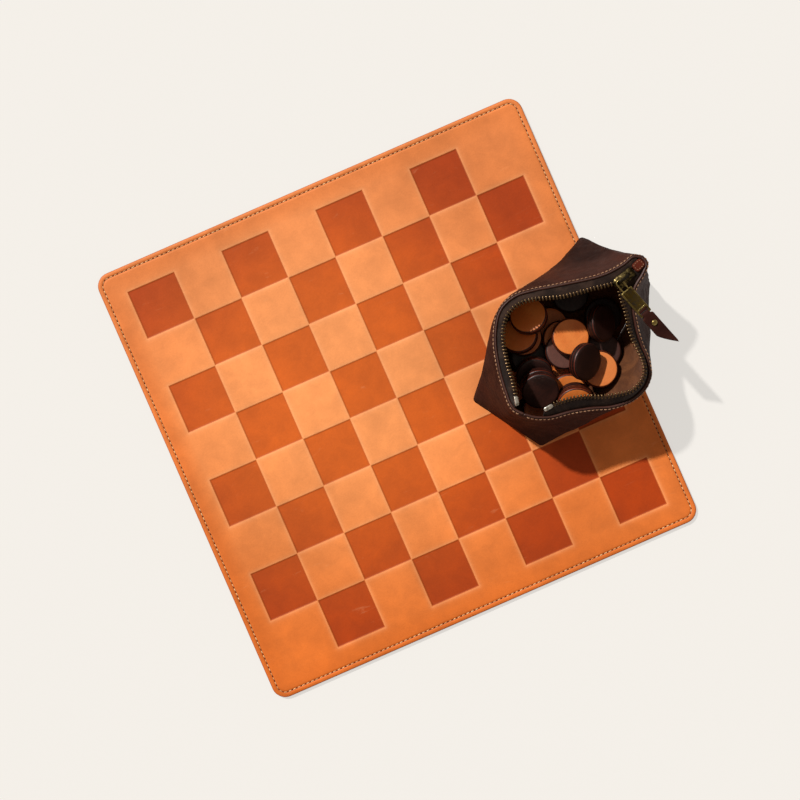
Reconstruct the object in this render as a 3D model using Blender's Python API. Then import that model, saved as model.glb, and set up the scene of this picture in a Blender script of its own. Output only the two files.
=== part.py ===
"""Leather checkers set: an embossed board mat, an open zip pouch standing on it, and 24 checkers in the pouch.

World frame: origin at the centre of the mat's underside, +X along the board's columns, +Y along its
rows towards the far side, +Z up. Everything on the pouch is laid out in the pouch's own frame: +X (a) from
the open end of the zip to its closed end, +Y (b) to the left of that, origin at the centre of its foot.
"""

import math

import bmesh
import bpy
import numpy as np
from mathutils import Matrix, Vector

MM = 0.001
GAP = 0.3 * MM

# Mat: an 8 by 8 board of 1 3/4 inch squares, two layers of leather sewn together round the edge.
SQUARE = 44.45 * MM
SQUARES = 8
MAT_SIZE = 400.0 * MM
MAT_CORNER = 12.0 * MM
BACKING_THICK = 1.6 * MM
TOP_THICK = 2.2 * MM
MAT_TOP = BACKING_THICK + GAP + TOP_THICK
RECESS_DEPTH = 0.7 * MM
RECESS_INSET = 0.45 * MM
STITCH_INSET = 4.5 * MM
GROOVE_WIDTH = 1.5 * MM
GROOVE_DEPTH = 0.8 * MM
THREAD_WIDTH = 0.8 * MM
THREAD_HEIGHT = 0.6 * MM

# Pouch: a 171 x 74 mm foot turned on the board, walls 71 mm high that lean out to a diamond mouth.
POUCH_AT = (150.4 * MM, -12.2 * MM, MAT_TOP + GAP)
POUCH_TURN = math.radians(32.8)
FOOT_LENGTH = 171.0
FOOT_WIDTH = 74.0
FOOT_CORNER = 4.0
FOOT_BOW = 4.0
FOOT_CLEAR = 2.2
LEATHER = 2.0
SEAM_GAP = 0.5
TAPE = 0.8
TAPE_GAP = 0.3
TAPE_LAP_ROW = 5
WALL_HEIGHTS = (0.0, 0.16, 0.34, 0.54, 0.75, 0.92, 1.0)
SHOULDER_OUT = 2.0
SHOULDER_DROP = 3.5
COLUMNS = 46

# The mouth, in millimetres on the pouch: the leather's cut edge and the line of the teeth, on the left
# panel and on the right one, each from the open end of the zip to its closed end.
OPEN_END = (-74.0, -2.0, 70.0)
CLOSED_END = (86.5, -11.5, 71.5)
LEFT_EDGE = [
    (-74.5, 8, 69), (-66, 21, 67), (-52, 37, 65), (-34, 52, 64), (-14, 61, 64), (2, 58, 65),
    (15, 48, 66.5), (32, 31, 68), (50, 13, 70), (61, 4.5, 71.5), (73, -1.5, 72), (83, -5, 72),
]
RIGHT_EDGE = [
    (-71, -11, 69), (-63.5, -22, 67), (-50, -34, 65), (-38, -47, 63), (-28, -60, 62), (-15, -70, 61),
    (-1, -73.5, 61), (11, -71, 61.5), (21, -62, 62.5), (29, -50, 64), (37, -40, 66), (46, -31, 68),
    (56, -23, 69.5), (65, -20, 71), (75, -19.5, 72), (84, -17, 72),
]
LEFT_TEETH = [
    (-71, 6.3, 71), (-58, 19, 69.5), (-45, 34, 67.5), (-29, 48, 66), (-14, 54, 66), (-2, 52, 67),
    (9, 43.5, 68), (24, 25, 69), (43, 8, 70), (51, 0.5, 70.5), (57, -4.2, 70.5), (66, -6.6, 70.5),
    (83, -10.7, 70.5),
]
RIGHT_TEETH = [
    (-62, -13.4, 71), (-51, -19.5, 70.5), (-41, -28, 69.5), (-33, -37, 69), (-27, -47, 68), (-18, -57, 67.5),
    (-9, -65, 67), (1, -67.5, 67), (10, -65.5, 67), (17, -59, 67.5), (22.5, -50, 68), (27, -42, 68.5),
    (33, -34, 69), (41, -26, 70), (49, -16, 70.5), (56, -9.6, 70.5), (66, -10.3, 70.5), (83, -14.4, 70.5),
]
# Where the folds from the foot's corners meet the mouth, as shares of each edge's length.
LEFT_FOLDS = (0.33, 0.65, 0.95)
RIGHT_FOLDS = (0.35, 0.57, 0.95)
LEFT_BULGE = 8.0
RIGHT_BULGE = 6.0

TOOTH_PITCH = 2.85
STOP_LENGTH = 8.5
TEETH_END_A = 71.0

# Slider and pull.
ZIP_AXIS = Vector((0.971, -0.239, 0.0)).normalized()
SLIDER_NOSE = Vector((54.5, -6.2, 70.5))
SLIDER_LENGTH = 19.0
SLIDER_WIDTH = 10.6
SLIDER_CLEAR = 1.7
SLIDER_PLATE = 1.2
BRIDGE_LEG = 1.8
BRIDGE_RISE = 3.7
BRIDGE_THICK = 1.2
BRIDGE_WIDTH = 2.4
BRIDGE_NOSE_LEG = 3.6
BRIDGE_TAIL_LEG = 14.5
EYE_WIDTH = 6.5
EYE_WIRE = 1.2
EYE_OFFSET = 2.0
EYE_RISE = 1.7
EYE_LENGTH = 10.0
PULL_YAW = math.radians(-104.5)
PULL_DROP = math.radians(6.0)
PLATE_LENGTH = 26.0
PLATE_WIDTH = 10.8
PLATE_THICK = 1.8
PLATE_RIM = 1.1
PLATE_SINK = 0.5
SLOT_LENGTH = 4.4
SLOT_WIDTH = 8.0
END_BAR = 1.3
STRAP_YAW = math.radians(2.0)
STRAP_DROP = math.radians(7.0)
STRAP_LENGTH = 36.0
STRAP_WIDTH = 11.0
STRAP_THICK = 3.6
STRAP_EYE = 2.0
RIVET_AT = 10.0
RIVET_CAP = 2.5
RIVET_SHANK = 1.1

# Checkers: 1 1/4 inch across, 8 mm thick. Places are a, b, height of the centre, tilt and the way the
# top leans (degrees, from +a), in millimetres on the pouch.
CHECKER_RADIUS = 15.9
CHECKER_THICK = 8.0
CHECKER_ROUND = 1.3
CHECKER_SIDES = 20
FLOOR = LEATHER + 2.3
LEVEL = CHECKER_THICK + 0.35
TAN_PLACES = [
    (4, -1.5, FLOOR + 3 * LEVEL + 2.2, 0, 0),
    (-1.5, 37.5, 36.0, 22, 80),
    (-18.5, 35, 26.5, 18, 80),
    (-4.5, -37.5, FLOOR + 2 * LEVEL + 2.7, 3, 290),
    (-40.5, -36, 34.5, 26, 214),
    (-34.3, -27, 17.9, 14, 214),
    (0, 3, FLOOR + LEVEL + 2.05, 0, 0),
    (-17, 30.3, FLOOR + LEVEL + 2.05, 0, 0),
    (-27.4, -16.9, FLOOR + 2, 0, 0),
    (-59.6, 16.9, FLOOR + 2, 0, 0),
    (4.8, 16.9, FLOOR + 2, 0, 0),
    (-59.6, -16.9, FLOOR + 2, 0, 0),
]
BROWN_PLACES = [
    (-8, -4, FLOOR + 2 * LEVEL + 2.1, 0, 0),
    (-7.5, -22.5, 41.2, 40, 286),
    (28.2, -16.8, 30.8, 45, 304),
    (11, -32.3, FLOOR + LEVEL + 2.05, 0, 0),
    (-47.8, -4.6, 37, 25, 214),
    (-44.9, -2.6, 29.4, 25, 214),
    (-38.5, 5.5, 21.5, 25, 214),
    (-38, -34.8, 26.6, 26, 214),
    (37, 16.9, FLOOR + 2, 0, 0),
    (-27.4, 16.9, FLOOR + 2, 0, 0),
    (4.8, -16.9, FLOOR + 2, 0, 0),
    (37, -16.9, FLOOR + 2, 0, 0),
]

COLOURS = {
    "mat_leather": ((0.80, 0.31, 0.11), 0.45, 0.0),
    "backing": ((0.62, 0.33, 0.17), 0.8, 0.0),
    "thread": ((0.72, 0.52, 0.33), 0.8, 0.0),
    "pouch_leather": ((0.055, 0.026, 0.020), 0.5, 0.0),
    "tape": ((0.05, 0.035, 0.03), 0.9, 0.0),
    "antique_brass": ((0.30, 0.22, 0.08), 0.4, 1.0),
    "bright_metal": ((0.75, 0.73, 0.68), 0.3, 1.0),
    "tab_leather": ((0.22, 0.08, 0.045), 0.5, 0.0),
    "tan_leather": ((0.85, 0.36, 0.13), 0.45, 0.0),
    "brown_leather": ((0.07, 0.035, 0.028), 0.4, 0.0),
}


for old in list(bpy.data.objects):
    bpy.data.objects.remove(old, do_unlink=True)
for old in list(bpy.data.collections):
    bpy.data.collections.remove(old)
set_collection = bpy.data.collections.new("checkers_set")
cutter_collection = bpy.data.collections.new("cutters")
bpy.context.scene.collection.children.link(set_collection)
bpy.context.scene.collection.children.link(cutter_collection)


def material(name):
    colour, roughness, metallic = COLOURS[name]
    made = bpy.data.materials.new(name)
    made.use_nodes = True
    shader = made.node_tree.nodes["Principled BSDF"]
    shader.inputs["Base Color"].default_value = (*colour, 1.0)
    shader.inputs["Roughness"].default_value = roughness
    shader.inputs["Metallic"].default_value = metallic
    return made


def add_object(name, mesh, colour, parent=None, collection=set_collection):
    """A new object in the set, with its own material."""
    made = bpy.data.objects.new(name, mesh)
    collection.objects.link(made)
    if colour:
        made.data.materials.append(material(colour))
    made.parent = parent
    return made


def mesh_from(name, work):
    """A mesh from a bmesh, with its faces turned outwards."""
    bmesh.ops.recalc_face_normals(work, faces=work.faces)
    mesh = bpy.data.meshes.new(name)
    work.to_mesh(mesh)
    work.free()
    return mesh


def empty(name, place, turn, parent=None):
    made = bpy.data.objects.new(name, None)
    set_collection.objects.link(made)
    made.matrix_local = Matrix.Translation(place) @ turn.to_4x4()
    made.parent = parent
    return made


def cut(target, cutter, operation="DIFFERENCE"):
    """Cuts target with cutter, or joins the cutter to it, and keeps the cutter as a wire."""
    step = target.modifiers.new(operation.lower(), "BOOLEAN")
    step.operation = operation
    step.solver = "EXACT"
    step.object = cutter
    cutter.hide_render = True
    cutter.display_type = "WIRE"


def box_mesh(name, size, centre=(0, 0, 0), bevel=0.0):
    work = bmesh.new()
    bmesh.ops.create_cube(work, size=1.0)
    bmesh.ops.scale(work, vec=Vector(size), verts=work.verts)
    if bevel:
        upright = [e for e in work.edges if abs(e.verts[0].co.z - e.verts[1].co.z) > 1e-6]
        bmesh.ops.bevel(work, geom=upright, offset=bevel, segments=4, affect="EDGES", profile=0.5)
    bmesh.ops.translate(work, vec=Vector(centre), verts=work.verts)
    return mesh_from(name, work)


def rod_mesh(name, start, end, radius, sides=8):
    """A straight rod between two points, with flat ends."""
    start = Vector(start)
    end = Vector(end)
    along = end - start
    work = bmesh.new()
    bmesh.ops.create_cone(
        work, cap_ends=True, segments=sides, radius1=radius, radius2=radius, depth=along.length
    )
    turn = along.to_track_quat("Z", "Y").to_matrix().to_4x4()
    bmesh.ops.transform(work, matrix=Matrix.Translation((start + end) / 2) @ turn, verts=work.verts)
    return mesh_from(name, work)


def rounded_square(half, radius, steps=6):
    """Points round a square with round corners, anticlockwise."""
    points = []
    for corner in range(4):
        middle = math.radians(45 + 90 * corner)
        centre_x = math.copysign(half - radius, math.cos(middle))
        centre_y = math.copysign(half - radius, math.sin(middle))
        for step in range(steps + 1):
            angle = math.radians(90 * corner + 90 * step / steps)
            points.append((centre_x + radius * math.cos(angle), centre_y + radius * math.sin(angle)))
    return points


def slab(name, outline, low, high):
    """A flat piece of the given outline between two heights."""
    work = bmesh.new()
    base = work.faces.new([work.verts.new((x, y, low)) for x, y in outline])
    lifted = bmesh.ops.extrude_face_region(work, geom=[base])
    top = [v for v in lifted["geom"] if isinstance(v, bmesh.types.BMVert)]
    bmesh.ops.translate(work, vec=Vector((0, 0, high - low)), verts=top)
    return mesh_from(name, work)


def band(name, outer, inner, low, high):
    """A closed frame between two outlines with as many points each, and between two heights."""
    work = bmesh.new()
    rings = []
    for outline, height in ((outer, low), (outer, high), (inner, high), (inner, low)):
        rings.append([work.verts.new((x, y, height)) for x, y in outline])
    count = len(outer)
    for ring in range(4):
        following = rings[(ring + 1) % 4]
        for i in range(count):
            j = (i + 1) % count
            work.faces.new((rings[ring][i], rings[ring][j], following[j], following[i]))
    return mesh_from(name, work)


def build_mat():
    half = MAT_SIZE / 2
    outline = rounded_square(half, MAT_CORNER)
    backing = slab("mat_backing", rounded_square(half - 0.5 * MM, MAT_CORNER), 0.0, BACKING_THICK)
    add_object("mat_backing", backing, "backing")
    top = add_object("mat_top", slab("mat_top", outline, BACKING_THICK + GAP, MAT_TOP), "mat_leather")

    squares = bmesh.new()
    for row in range(SQUARES):
        for column in range(SQUARES):
            if (row + column) % 2 == 0:
                continue
            x = (column - SQUARES / 2 + 0.5) * SQUARE
            y = (row - SQUARES / 2 + 0.5) * SQUARE
            side = SQUARE - 2 * RECESS_INSET
            place = Matrix.Translation((x, y, MAT_TOP)) @ Matrix.Diagonal((side, side, 2 * RECESS_DEPTH, 1))
            bmesh.ops.create_cube(squares, size=1.0, matrix=place)
    cutter = add_object("recess_cutter", mesh_from("recess_cutter", squares), None, None, cutter_collection)
    cut(top, cutter)

    stitch = half - STITCH_INSET
    corner = MAT_CORNER - STITCH_INSET
    groove = band(
        "groove_cutter",
        rounded_square(stitch + GROOVE_WIDTH / 2, corner + GROOVE_WIDTH / 2),
        rounded_square(stitch - GROOVE_WIDTH / 2, corner - GROOVE_WIDTH / 2),
        MAT_TOP - GROOVE_DEPTH,
        MAT_TOP + GROOVE_DEPTH,
    )
    cut(top, add_object("groove_cutter", groove, None, None, cutter_collection))
    thread = band(
        "mat_stitching",
        rounded_square(stitch + THREAD_WIDTH / 2, corner + THREAD_WIDTH / 2),
        rounded_square(stitch - THREAD_WIDTH / 2, corner - THREAD_WIDTH / 2),
        MAT_TOP - GROOVE_DEPTH + GAP,
        MAT_TOP - GROOVE_DEPTH + GAP + THREAD_HEIGHT,
    )
    add_object("mat_stitching", thread, "thread")


def smooth_line(points, per_span=24):
    """A dense smooth line through points (Catmull-Rom, spaced by the chord's square root)."""
    points = np.array(points, dtype=float)
    ends = [2 * points[0] - points[1], *points, 2 * points[-1] - points[-2]]
    line = []
    for i in range(1, len(ends) - 2):
        p0, p1, p2, p3 = ends[i - 1 : i + 3]
        t1 = np.linalg.norm(p1 - p0) ** 0.5
        t2 = t1 + np.linalg.norm(p2 - p1) ** 0.5
        t3 = t2 + np.linalg.norm(p3 - p2) ** 0.5
        for t in np.linspace(t1, t2, per_span, endpoint=False):
            a1 = p0 + (p1 - p0) * (t / t1)
            a2 = p1 + (p2 - p1) * ((t - t1) / (t2 - t1))
            a3 = p2 + (p3 - p2) * ((t - t2) / (t3 - t2))
            b1 = a1 + (a2 - a1) * (t / t2)
            b2 = a2 + (a3 - a2) * ((t - t1) / (t3 - t1))
            line.append(b1 + (b2 - b1) * ((t - t1) / (t2 - t1)))
    line.append(points[-1])
    return np.array(line)


def along(line, shares):
    """Points at shares (0 to 1) of a line's length."""
    steps = np.linalg.norm(np.diff(line, axis=0), axis=1)
    lengths = np.concatenate([[0.0], np.cumsum(steps)])
    at = np.asarray(shares) * lengths[-1]
    return np.stack([np.interp(at, lengths, line[:, k]) for k in range(3)], axis=1)


def length_of(line):
    return float(np.linalg.norm(np.diff(line, axis=0), axis=1).sum())


def foot_line(side):
    """Half of the foot's outline, from the open end's seam to the closed end's, on one side (+1 or -1)."""
    half_length = FOOT_LENGTH / 2
    half_width = FOOT_WIDTH / 2
    points = [(-half_length, 0.0, 0.0)]
    for step in range(7):
        angle = math.radians(180 - 15 * step)
        points.append((
            -half_length + FOOT_CORNER + FOOT_CORNER * math.cos(angle),
            half_width - FOOT_CORNER + FOOT_CORNER * math.sin(angle),
            0.0,
        ))
    straight = half_length - FOOT_CORNER
    for step in range(1, 16):
        a = -straight + 2 * straight * step / 16
        points.append((a, half_width + FOOT_BOW * math.cos(a / straight * math.pi / 2), 0.0))
    for step in range(7):
        angle = math.radians(90 - 15 * step)
        points.append((
            half_length - FOOT_CORNER + FOOT_CORNER * math.cos(angle),
            half_width - FOOT_CORNER + FOOT_CORNER * math.sin(angle),
            0.0,
        ))
    points.append((half_length, 0.0, 0.0))
    line = np.array(points)
    line[:, 1] *= side
    return line


def outward(line, side):
    """Level unit vectors square to a line and away from the mouth."""
    tangent = np.gradient(line, axis=0)
    square = np.stack([-tangent[:, 1], tangent[:, 0], np.zeros(len(line))], axis=1) * side
    return square / np.linalg.norm(square, axis=1)[:, None]


def wall_rows(side):
    """The outer surface of one panel: rows from the foot to the cut edge, each a line of points."""
    edge_points = LEFT_EDGE if side > 0 else RIGHT_EDGE
    folds = LEFT_FOLDS if side > 0 else RIGHT_FOLDS
    bulge = LEFT_BULGE if side > 0 else RIGHT_BULGE
    foot = foot_line(side)
    edge = smooth_line([OPEN_END, *edge_points, CLOSED_END])
    fold_share = FOOT_WIDTH / 2 / length_of(foot)
    half_turn = FOOT_CORNER * math.pi / 4 / length_of(foot)
    foot_knots = [0, fold_share, 1 - fold_share - half_turn, 1 - fold_share + half_turn, 1]
    dense = np.linspace(0.0, 1.0, 40 * COLUMNS)
    balance = (dense + np.interp(dense, [0, *folds, 1], foot_knots)) / 2
    shares = np.interp(np.linspace(0.0, 1.0, COLUMNS), balance, dense)
    foot_shares = np.interp(shares, [0, *folds, 1], foot_knots)
    foot_row = along(foot, foot_shares)
    edge_row = along(edge, shares)
    away = outward(edge_row, side)
    shoulder = edge_row + away * SHOULDER_OUT
    shoulder[:, 2] -= SHOULDER_DROP
    swell = np.sin(np.pi * np.clip((shares - folds[0]) / (folds[1] - folds[0]), 0, 1)) ** 1.5 * bulge
    rows = []
    for height in WALL_HEIGHTS:
        row = foot_row + (shoulder - foot_row) * height
        lean = np.array([0.0, side, 0.0])
        row = row + lean * (swell * math.sin(math.pi * height))[:, None]
        rows.append(row)
    rows.append(edge_row)
    return np.array(rows)


def inner_rows(rows, depth, side):
    """The rows moved in by depth, square to the surface, level at the foot and flat at the two seams."""
    up = np.gradient(rows, axis=0)
    across = np.gradient(rows, axis=1)
    normal = np.cross(up, across) * side
    normal /= np.linalg.norm(normal, axis=2)[:, :, None]
    normal[0, :, 2] = 0.0
    normal[0] /= np.linalg.norm(normal[0], axis=1)[:, None]
    for column in (0, -1):
        normal[:, column, 1] = 0.0
        normal[:, column] /= np.linalg.norm(normal[:, column], axis=1)[:, None]
    return rows - normal * depth


def shell(name, outer, inner, colour, parent):
    """A closed sheet between two grids of points of the same size, given in millimetres."""
    work = bmesh.new()
    grids = [[[work.verts.new(p * MM) for p in row] for row in grid] for grid in (outer, inner)]
    rows, columns = outer.shape[:2]
    for grid in grids:
        for i in range(rows - 1):
            for j in range(columns - 1):
                work.faces.new((grid[i][j], grid[i][j + 1], grid[i + 1][j + 1], grid[i + 1][j]))
    skin, lining = grids
    for i in range(rows - 1):
        for j in (0, columns - 1):
            work.faces.new((skin[i][j], skin[i + 1][j], lining[i + 1][j], lining[i][j]))
    for j in range(columns - 1):
        for i in (0, rows - 1):
            work.faces.new((skin[i][j], skin[i][j + 1], lining[i][j + 1], lining[i][j]))
    bmesh.ops.triangulate(work, faces=work.faces)
    return add_object(name, mesh_from(name, work), colour, parent)


def build_panel(side, word, pouch):
    """One side panel of the pouch: half of each end, and one long wall."""
    rows = wall_rows(side)
    rows[:, :, 1][:, (0, -1)] += side * SEAM_GAP / 2
    shell("pouch_panel_" + word, rows, inner_rows(rows, LEATHER, side), "pouch_leather", pouch)
    return rows


def build_foot(pouch):
    """The pouch's bottom panel, inside the walls' feet."""
    inset = LEATHER + FOOT_CLEAR
    outline = []
    for side in (1, -1):
        line = along(foot_line(side), np.linspace(0, 1, 28))
        line = line - outward(line, side) * inset
        outline.extend((x * MM, y * MM) for x, y, _ in (line[1:-1] if side > 0 else line[-2:0:-1]))
    add_object("pouch_foot", slab("pouch_foot", outline, 0.0, LEATHER * MM), "pouch_leather", pouch)


def build_tape(side, word, rows, pouch):
    """One half of the zip's tape, lapped inside the panel's top and reaching to the teeth."""
    teeth = smooth_line(LEFT_TEETH if side > 0 else RIGHT_TEETH)
    away = outward(teeth, side)
    reach = teeth + away * 1.2
    top = inner_rows(rows, LEATHER + TAPE_GAP, side)[TAPE_LAP_ROW:]
    low = inner_rows(rows, LEATHER + TAPE_GAP + TAPE, side)[TAPE_LAP_ROW:]
    first = int(np.argmin(np.linalg.norm(rows[-1] - teeth[0], axis=1)))
    last = COLUMNS - 6
    near = [int(np.argmin(np.linalg.norm(teeth - point, axis=1))) for point in rows[-1][first : last + 1]]
    near = np.maximum.accumulate(np.array(near, dtype=float))
    wide = np.pad(near, 3, mode="reflect", reflect_type="odd")
    eased = np.convolve(wide, np.ones(7) / 7, mode="valid")
    spots = np.clip(eased, 0, len(teeth) - 1)
    inner = np.stack([np.interp(spots, np.arange(len(teeth)), reach[:, k]) for k in range(3)], axis=1)
    rise = np.array([0.0, 0.0, TAPE / 2])
    top = np.concatenate([top[:, first : last + 1], (inner + rise)[None]])
    low = np.concatenate([low[:, first : last + 1], (inner - rise)[None]])
    shell("zip_tape_" + word, top, low, "tape", pouch)
    return teeth


def build_teeth(side, word, teeth, pouch):
    """One row of teeth: a bead along the tape that swells into a tooth at each pitch, and its top stop."""
    total = length_of(teeth)
    end_share = np.interp(TEETH_END_A, teeth[-40:, 0], np.linspace(1 - 39 / (len(teeth) - 1), 1, 40))
    usable = total * end_share - STOP_LENGTH
    count = int(usable / TOOTH_PITCH)
    places = (STOP_LENGTH + 0.3 + np.arange(2 * count + 1) * TOOTH_PITCH / 2) / total
    spots = along(teeth, places)
    away = outward(spots, side)
    work = bmesh.new()
    rings = []
    for i, (spot, out) in enumerate(zip(spots, away)):
        tooth = i % 2 == 1
        reach = 1.6 if tooth else 0.5
        rise = 1.3 if tooth else 0.7
        corners = ((-reach, -rise), (0.85, -rise), (0.85, rise), (-reach, rise))
        rings.append([work.verts.new((spot + out * u + np.array([0, 0, v])) * MM) for u, v in corners])
    for ring, following in zip(rings, rings[1:]):
        for i in range(4):
            j = (i + 1) % 4
            work.faces.new((ring[i], ring[j], following[j], following[i]))
    work.faces.new(rings[0])
    work.faces.new(rings[-1])
    bmesh.ops.triangulate(work, faces=work.faces)
    add_object("zip_teeth_" + word, mesh_from("zip_teeth_" + word, work), "antique_brass", pouch)

    start, end = along(teeth, [0.4 / total, (STOP_LENGTH - 0.2) / total])
    middle = Vector((start + end) / 2) * MM
    heading = Vector(end - start)
    stop = box_mesh("top_stop_" + word, (STOP_LENGTH * 0.9 * MM, 2.0 * MM, 2.6 * MM))
    made = add_object("top_stop_" + word, stop, "bright_metal", pouch)
    made.matrix_local = Matrix.Translation(middle) @ heading.to_track_quat("X", "Z").to_matrix().to_4x4()


def build_tab(pouch):
    """The leather tab sewn over the closed end of the zip."""
    tab = add_object(
        "zip_end_tab", box_mesh("zip_end_tab", (9.6 * MM, 7.8 * MM, 1.6 * MM), bevel=2.0 * MM), "tab_leather", pouch
    )
    middle = SLIDER_NOSE + ZIP_AXIS * 25.2 + Vector((0, 0, 1.75))
    tab.matrix_local = Matrix.Translation(middle * MM) @ zip_turn()


def zip_turn():
    """A turn that takes +X along the closed zip and keeps +Z up."""
    return Matrix.Rotation(math.atan2(ZIP_AXIS.y, ZIP_AXIS.x), 4, "Z")


def part_box(name, size, centre, bevel=0.0):
    return box_mesh(name, [s * MM for s in size], [c * MM for c in centre], bevel * MM)


def shape_with(target, frame, meshes, parent, operation):
    """Joins shapes to an object, or cuts them from it, each in the object's own frame."""
    for mesh in meshes:
        piece = add_object(mesh.name, mesh, None, parent, cutter_collection)
        piece.matrix_local = frame
        cut(target, piece, operation)


def build_slider(pouch):
    """The slider: two plates round the zip, a wedge between them at the nose, and a bridge on top."""
    plate_low = SLIDER_CLEAR
    plate_high = SLIDER_CLEAR + SLIDER_PLATE
    half = SLIDER_LENGTH / 2
    slider = add_object(
        "zip_slider",
        part_box("zip_slider", (SLIDER_LENGTH, SLIDER_WIDTH, SLIDER_PLATE),
                 (half, 0, (plate_low + plate_high) / 2), 2.4),
        "antique_brass",
        pouch,
    )
    frame = Matrix.Translation(SLIDER_NOSE * MM) @ zip_turn()
    slider.matrix_local = frame
    under = part_box("slider_under", (SLIDER_LENGTH - 2.0, 8.0, SLIDER_PLATE), (half, 0, -plate_low - 0.6), 1.8)
    wedge = part_box("slider_wedge", (2.0, 1.8, 2 * SLIDER_CLEAR + 1.0), (1.3, 0, 0))
    bar_middle = (BRIDGE_NOSE_LEG + BRIDGE_TAIL_LEG) / 2
    bar_length = BRIDGE_TAIL_LEG - BRIDGE_NOSE_LEG + BRIDGE_LEG
    bar_height = plate_high + BRIDGE_RISE + BRIDGE_THICK / 2
    bar = part_box("slider_bar", (bar_length, BRIDGE_WIDTH, BRIDGE_THICK), (bar_middle, 0, bar_height))
    leg_rise = BRIDGE_RISE + 0.8
    legs = [
        part_box("slider_leg_%d" % i, (BRIDGE_LEG, BRIDGE_LEG, leg_rise), (at, 0, plate_high - 0.4 + leg_rise / 2))
        for i, at in enumerate((BRIDGE_NOSE_LEG, BRIDGE_TAIL_LEG))
    ]
    shape_with(slider, frame, [wedge, under, *legs, bar], pouch, "UNION")


def pull_frame():
    """The pull's frame on the pouch: origin on the eye's cross wire, +X down the pull, +Z up from it."""
    leg = SLIDER_NOSE + ZIP_AXIS * BRIDGE_NOSE_LEG
    left = Vector((-ZIP_AXIS.y, ZIP_AXIS.x, 0))
    place = leg + left * EYE_OFFSET
    place.z += SLIDER_CLEAR + SLIDER_PLATE + EYE_RISE
    turn = Matrix.Rotation(PULL_YAW, 4, "Z") @ Matrix.Rotation(PULL_DROP, 4, "Y")
    return Matrix.Translation(place * MM) @ turn


def build_pull(pouch):
    """The pull plate, with its wire eye at one end and a slot at the other."""
    outer = EYE_LENGTH + PLATE_LENGTH
    plate = add_object(
        "pull_plate",
        part_box("pull_plate", (PLATE_LENGTH, PLATE_WIDTH, PLATE_THICK), (EYE_LENGTH + PLATE_LENGTH / 2, 0, 0), 0.8),
        "antique_brass",
        pouch,
    )
    frame = pull_frame()
    plate.matrix_local = frame
    arm = (EYE_WIDTH - EYE_WIRE) / 2
    wires = [
        part_box("eye_arm_%d" % i, (EYE_LENGTH + EYE_WIRE / 2 + 0.8, EYE_WIRE, EYE_WIRE),
                 ((EYE_LENGTH + 0.8 - EYE_WIRE / 2) / 2, y, 0))
        for i, y in enumerate((arm, -arm))
    ]
    cross = part_box("eye_cross", (EYE_WIRE - 0.01, EYE_WIDTH - 0.02, EYE_WIRE - 0.01), (0, 0, 0))
    shape_with(plate, frame, [*wires, cross], pouch, "UNION")
    field = PLATE_LENGTH - SLOT_LENGTH - END_BAR - 2 * PLATE_RIM
    sink = part_box(
        "plate_sink", (field, PLATE_WIDTH - 2 * PLATE_RIM, PLATE_SINK * 2),
        (EYE_LENGTH + PLATE_RIM + field / 2, 0, PLATE_THICK / 2),
    )
    slot = part_box(
        "plate_slot", (SLOT_LENGTH, SLOT_WIDTH, PLATE_THICK * 2), (outer - END_BAR - SLOT_LENGTH / 2, 0, 0)
    )
    thin = [
        part_box("plate_thin_%d" % i, (END_BAR + 0.4, SLOT_WIDTH, 1.0), (outer - END_BAR / 2 + 0.2, 0, z))
        for i, z in enumerate((END_BAR / 2 + 0.5, -END_BAR / 2 - 0.5))
    ]
    shape_with(plate, frame, [sink, slot, *thin], pouch, "DIFFERENCE")


def strap_frame():
    """The strap's frame on the pouch: origin on the plate's end bar, +X down the strap."""
    bar = EYE_LENGTH + PLATE_LENGTH - END_BAR / 2
    return pull_frame() @ Matrix.Translation((bar * MM, 0, 0)) @ Matrix.Rotation(STRAP_DROP, 4, "Y")


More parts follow.
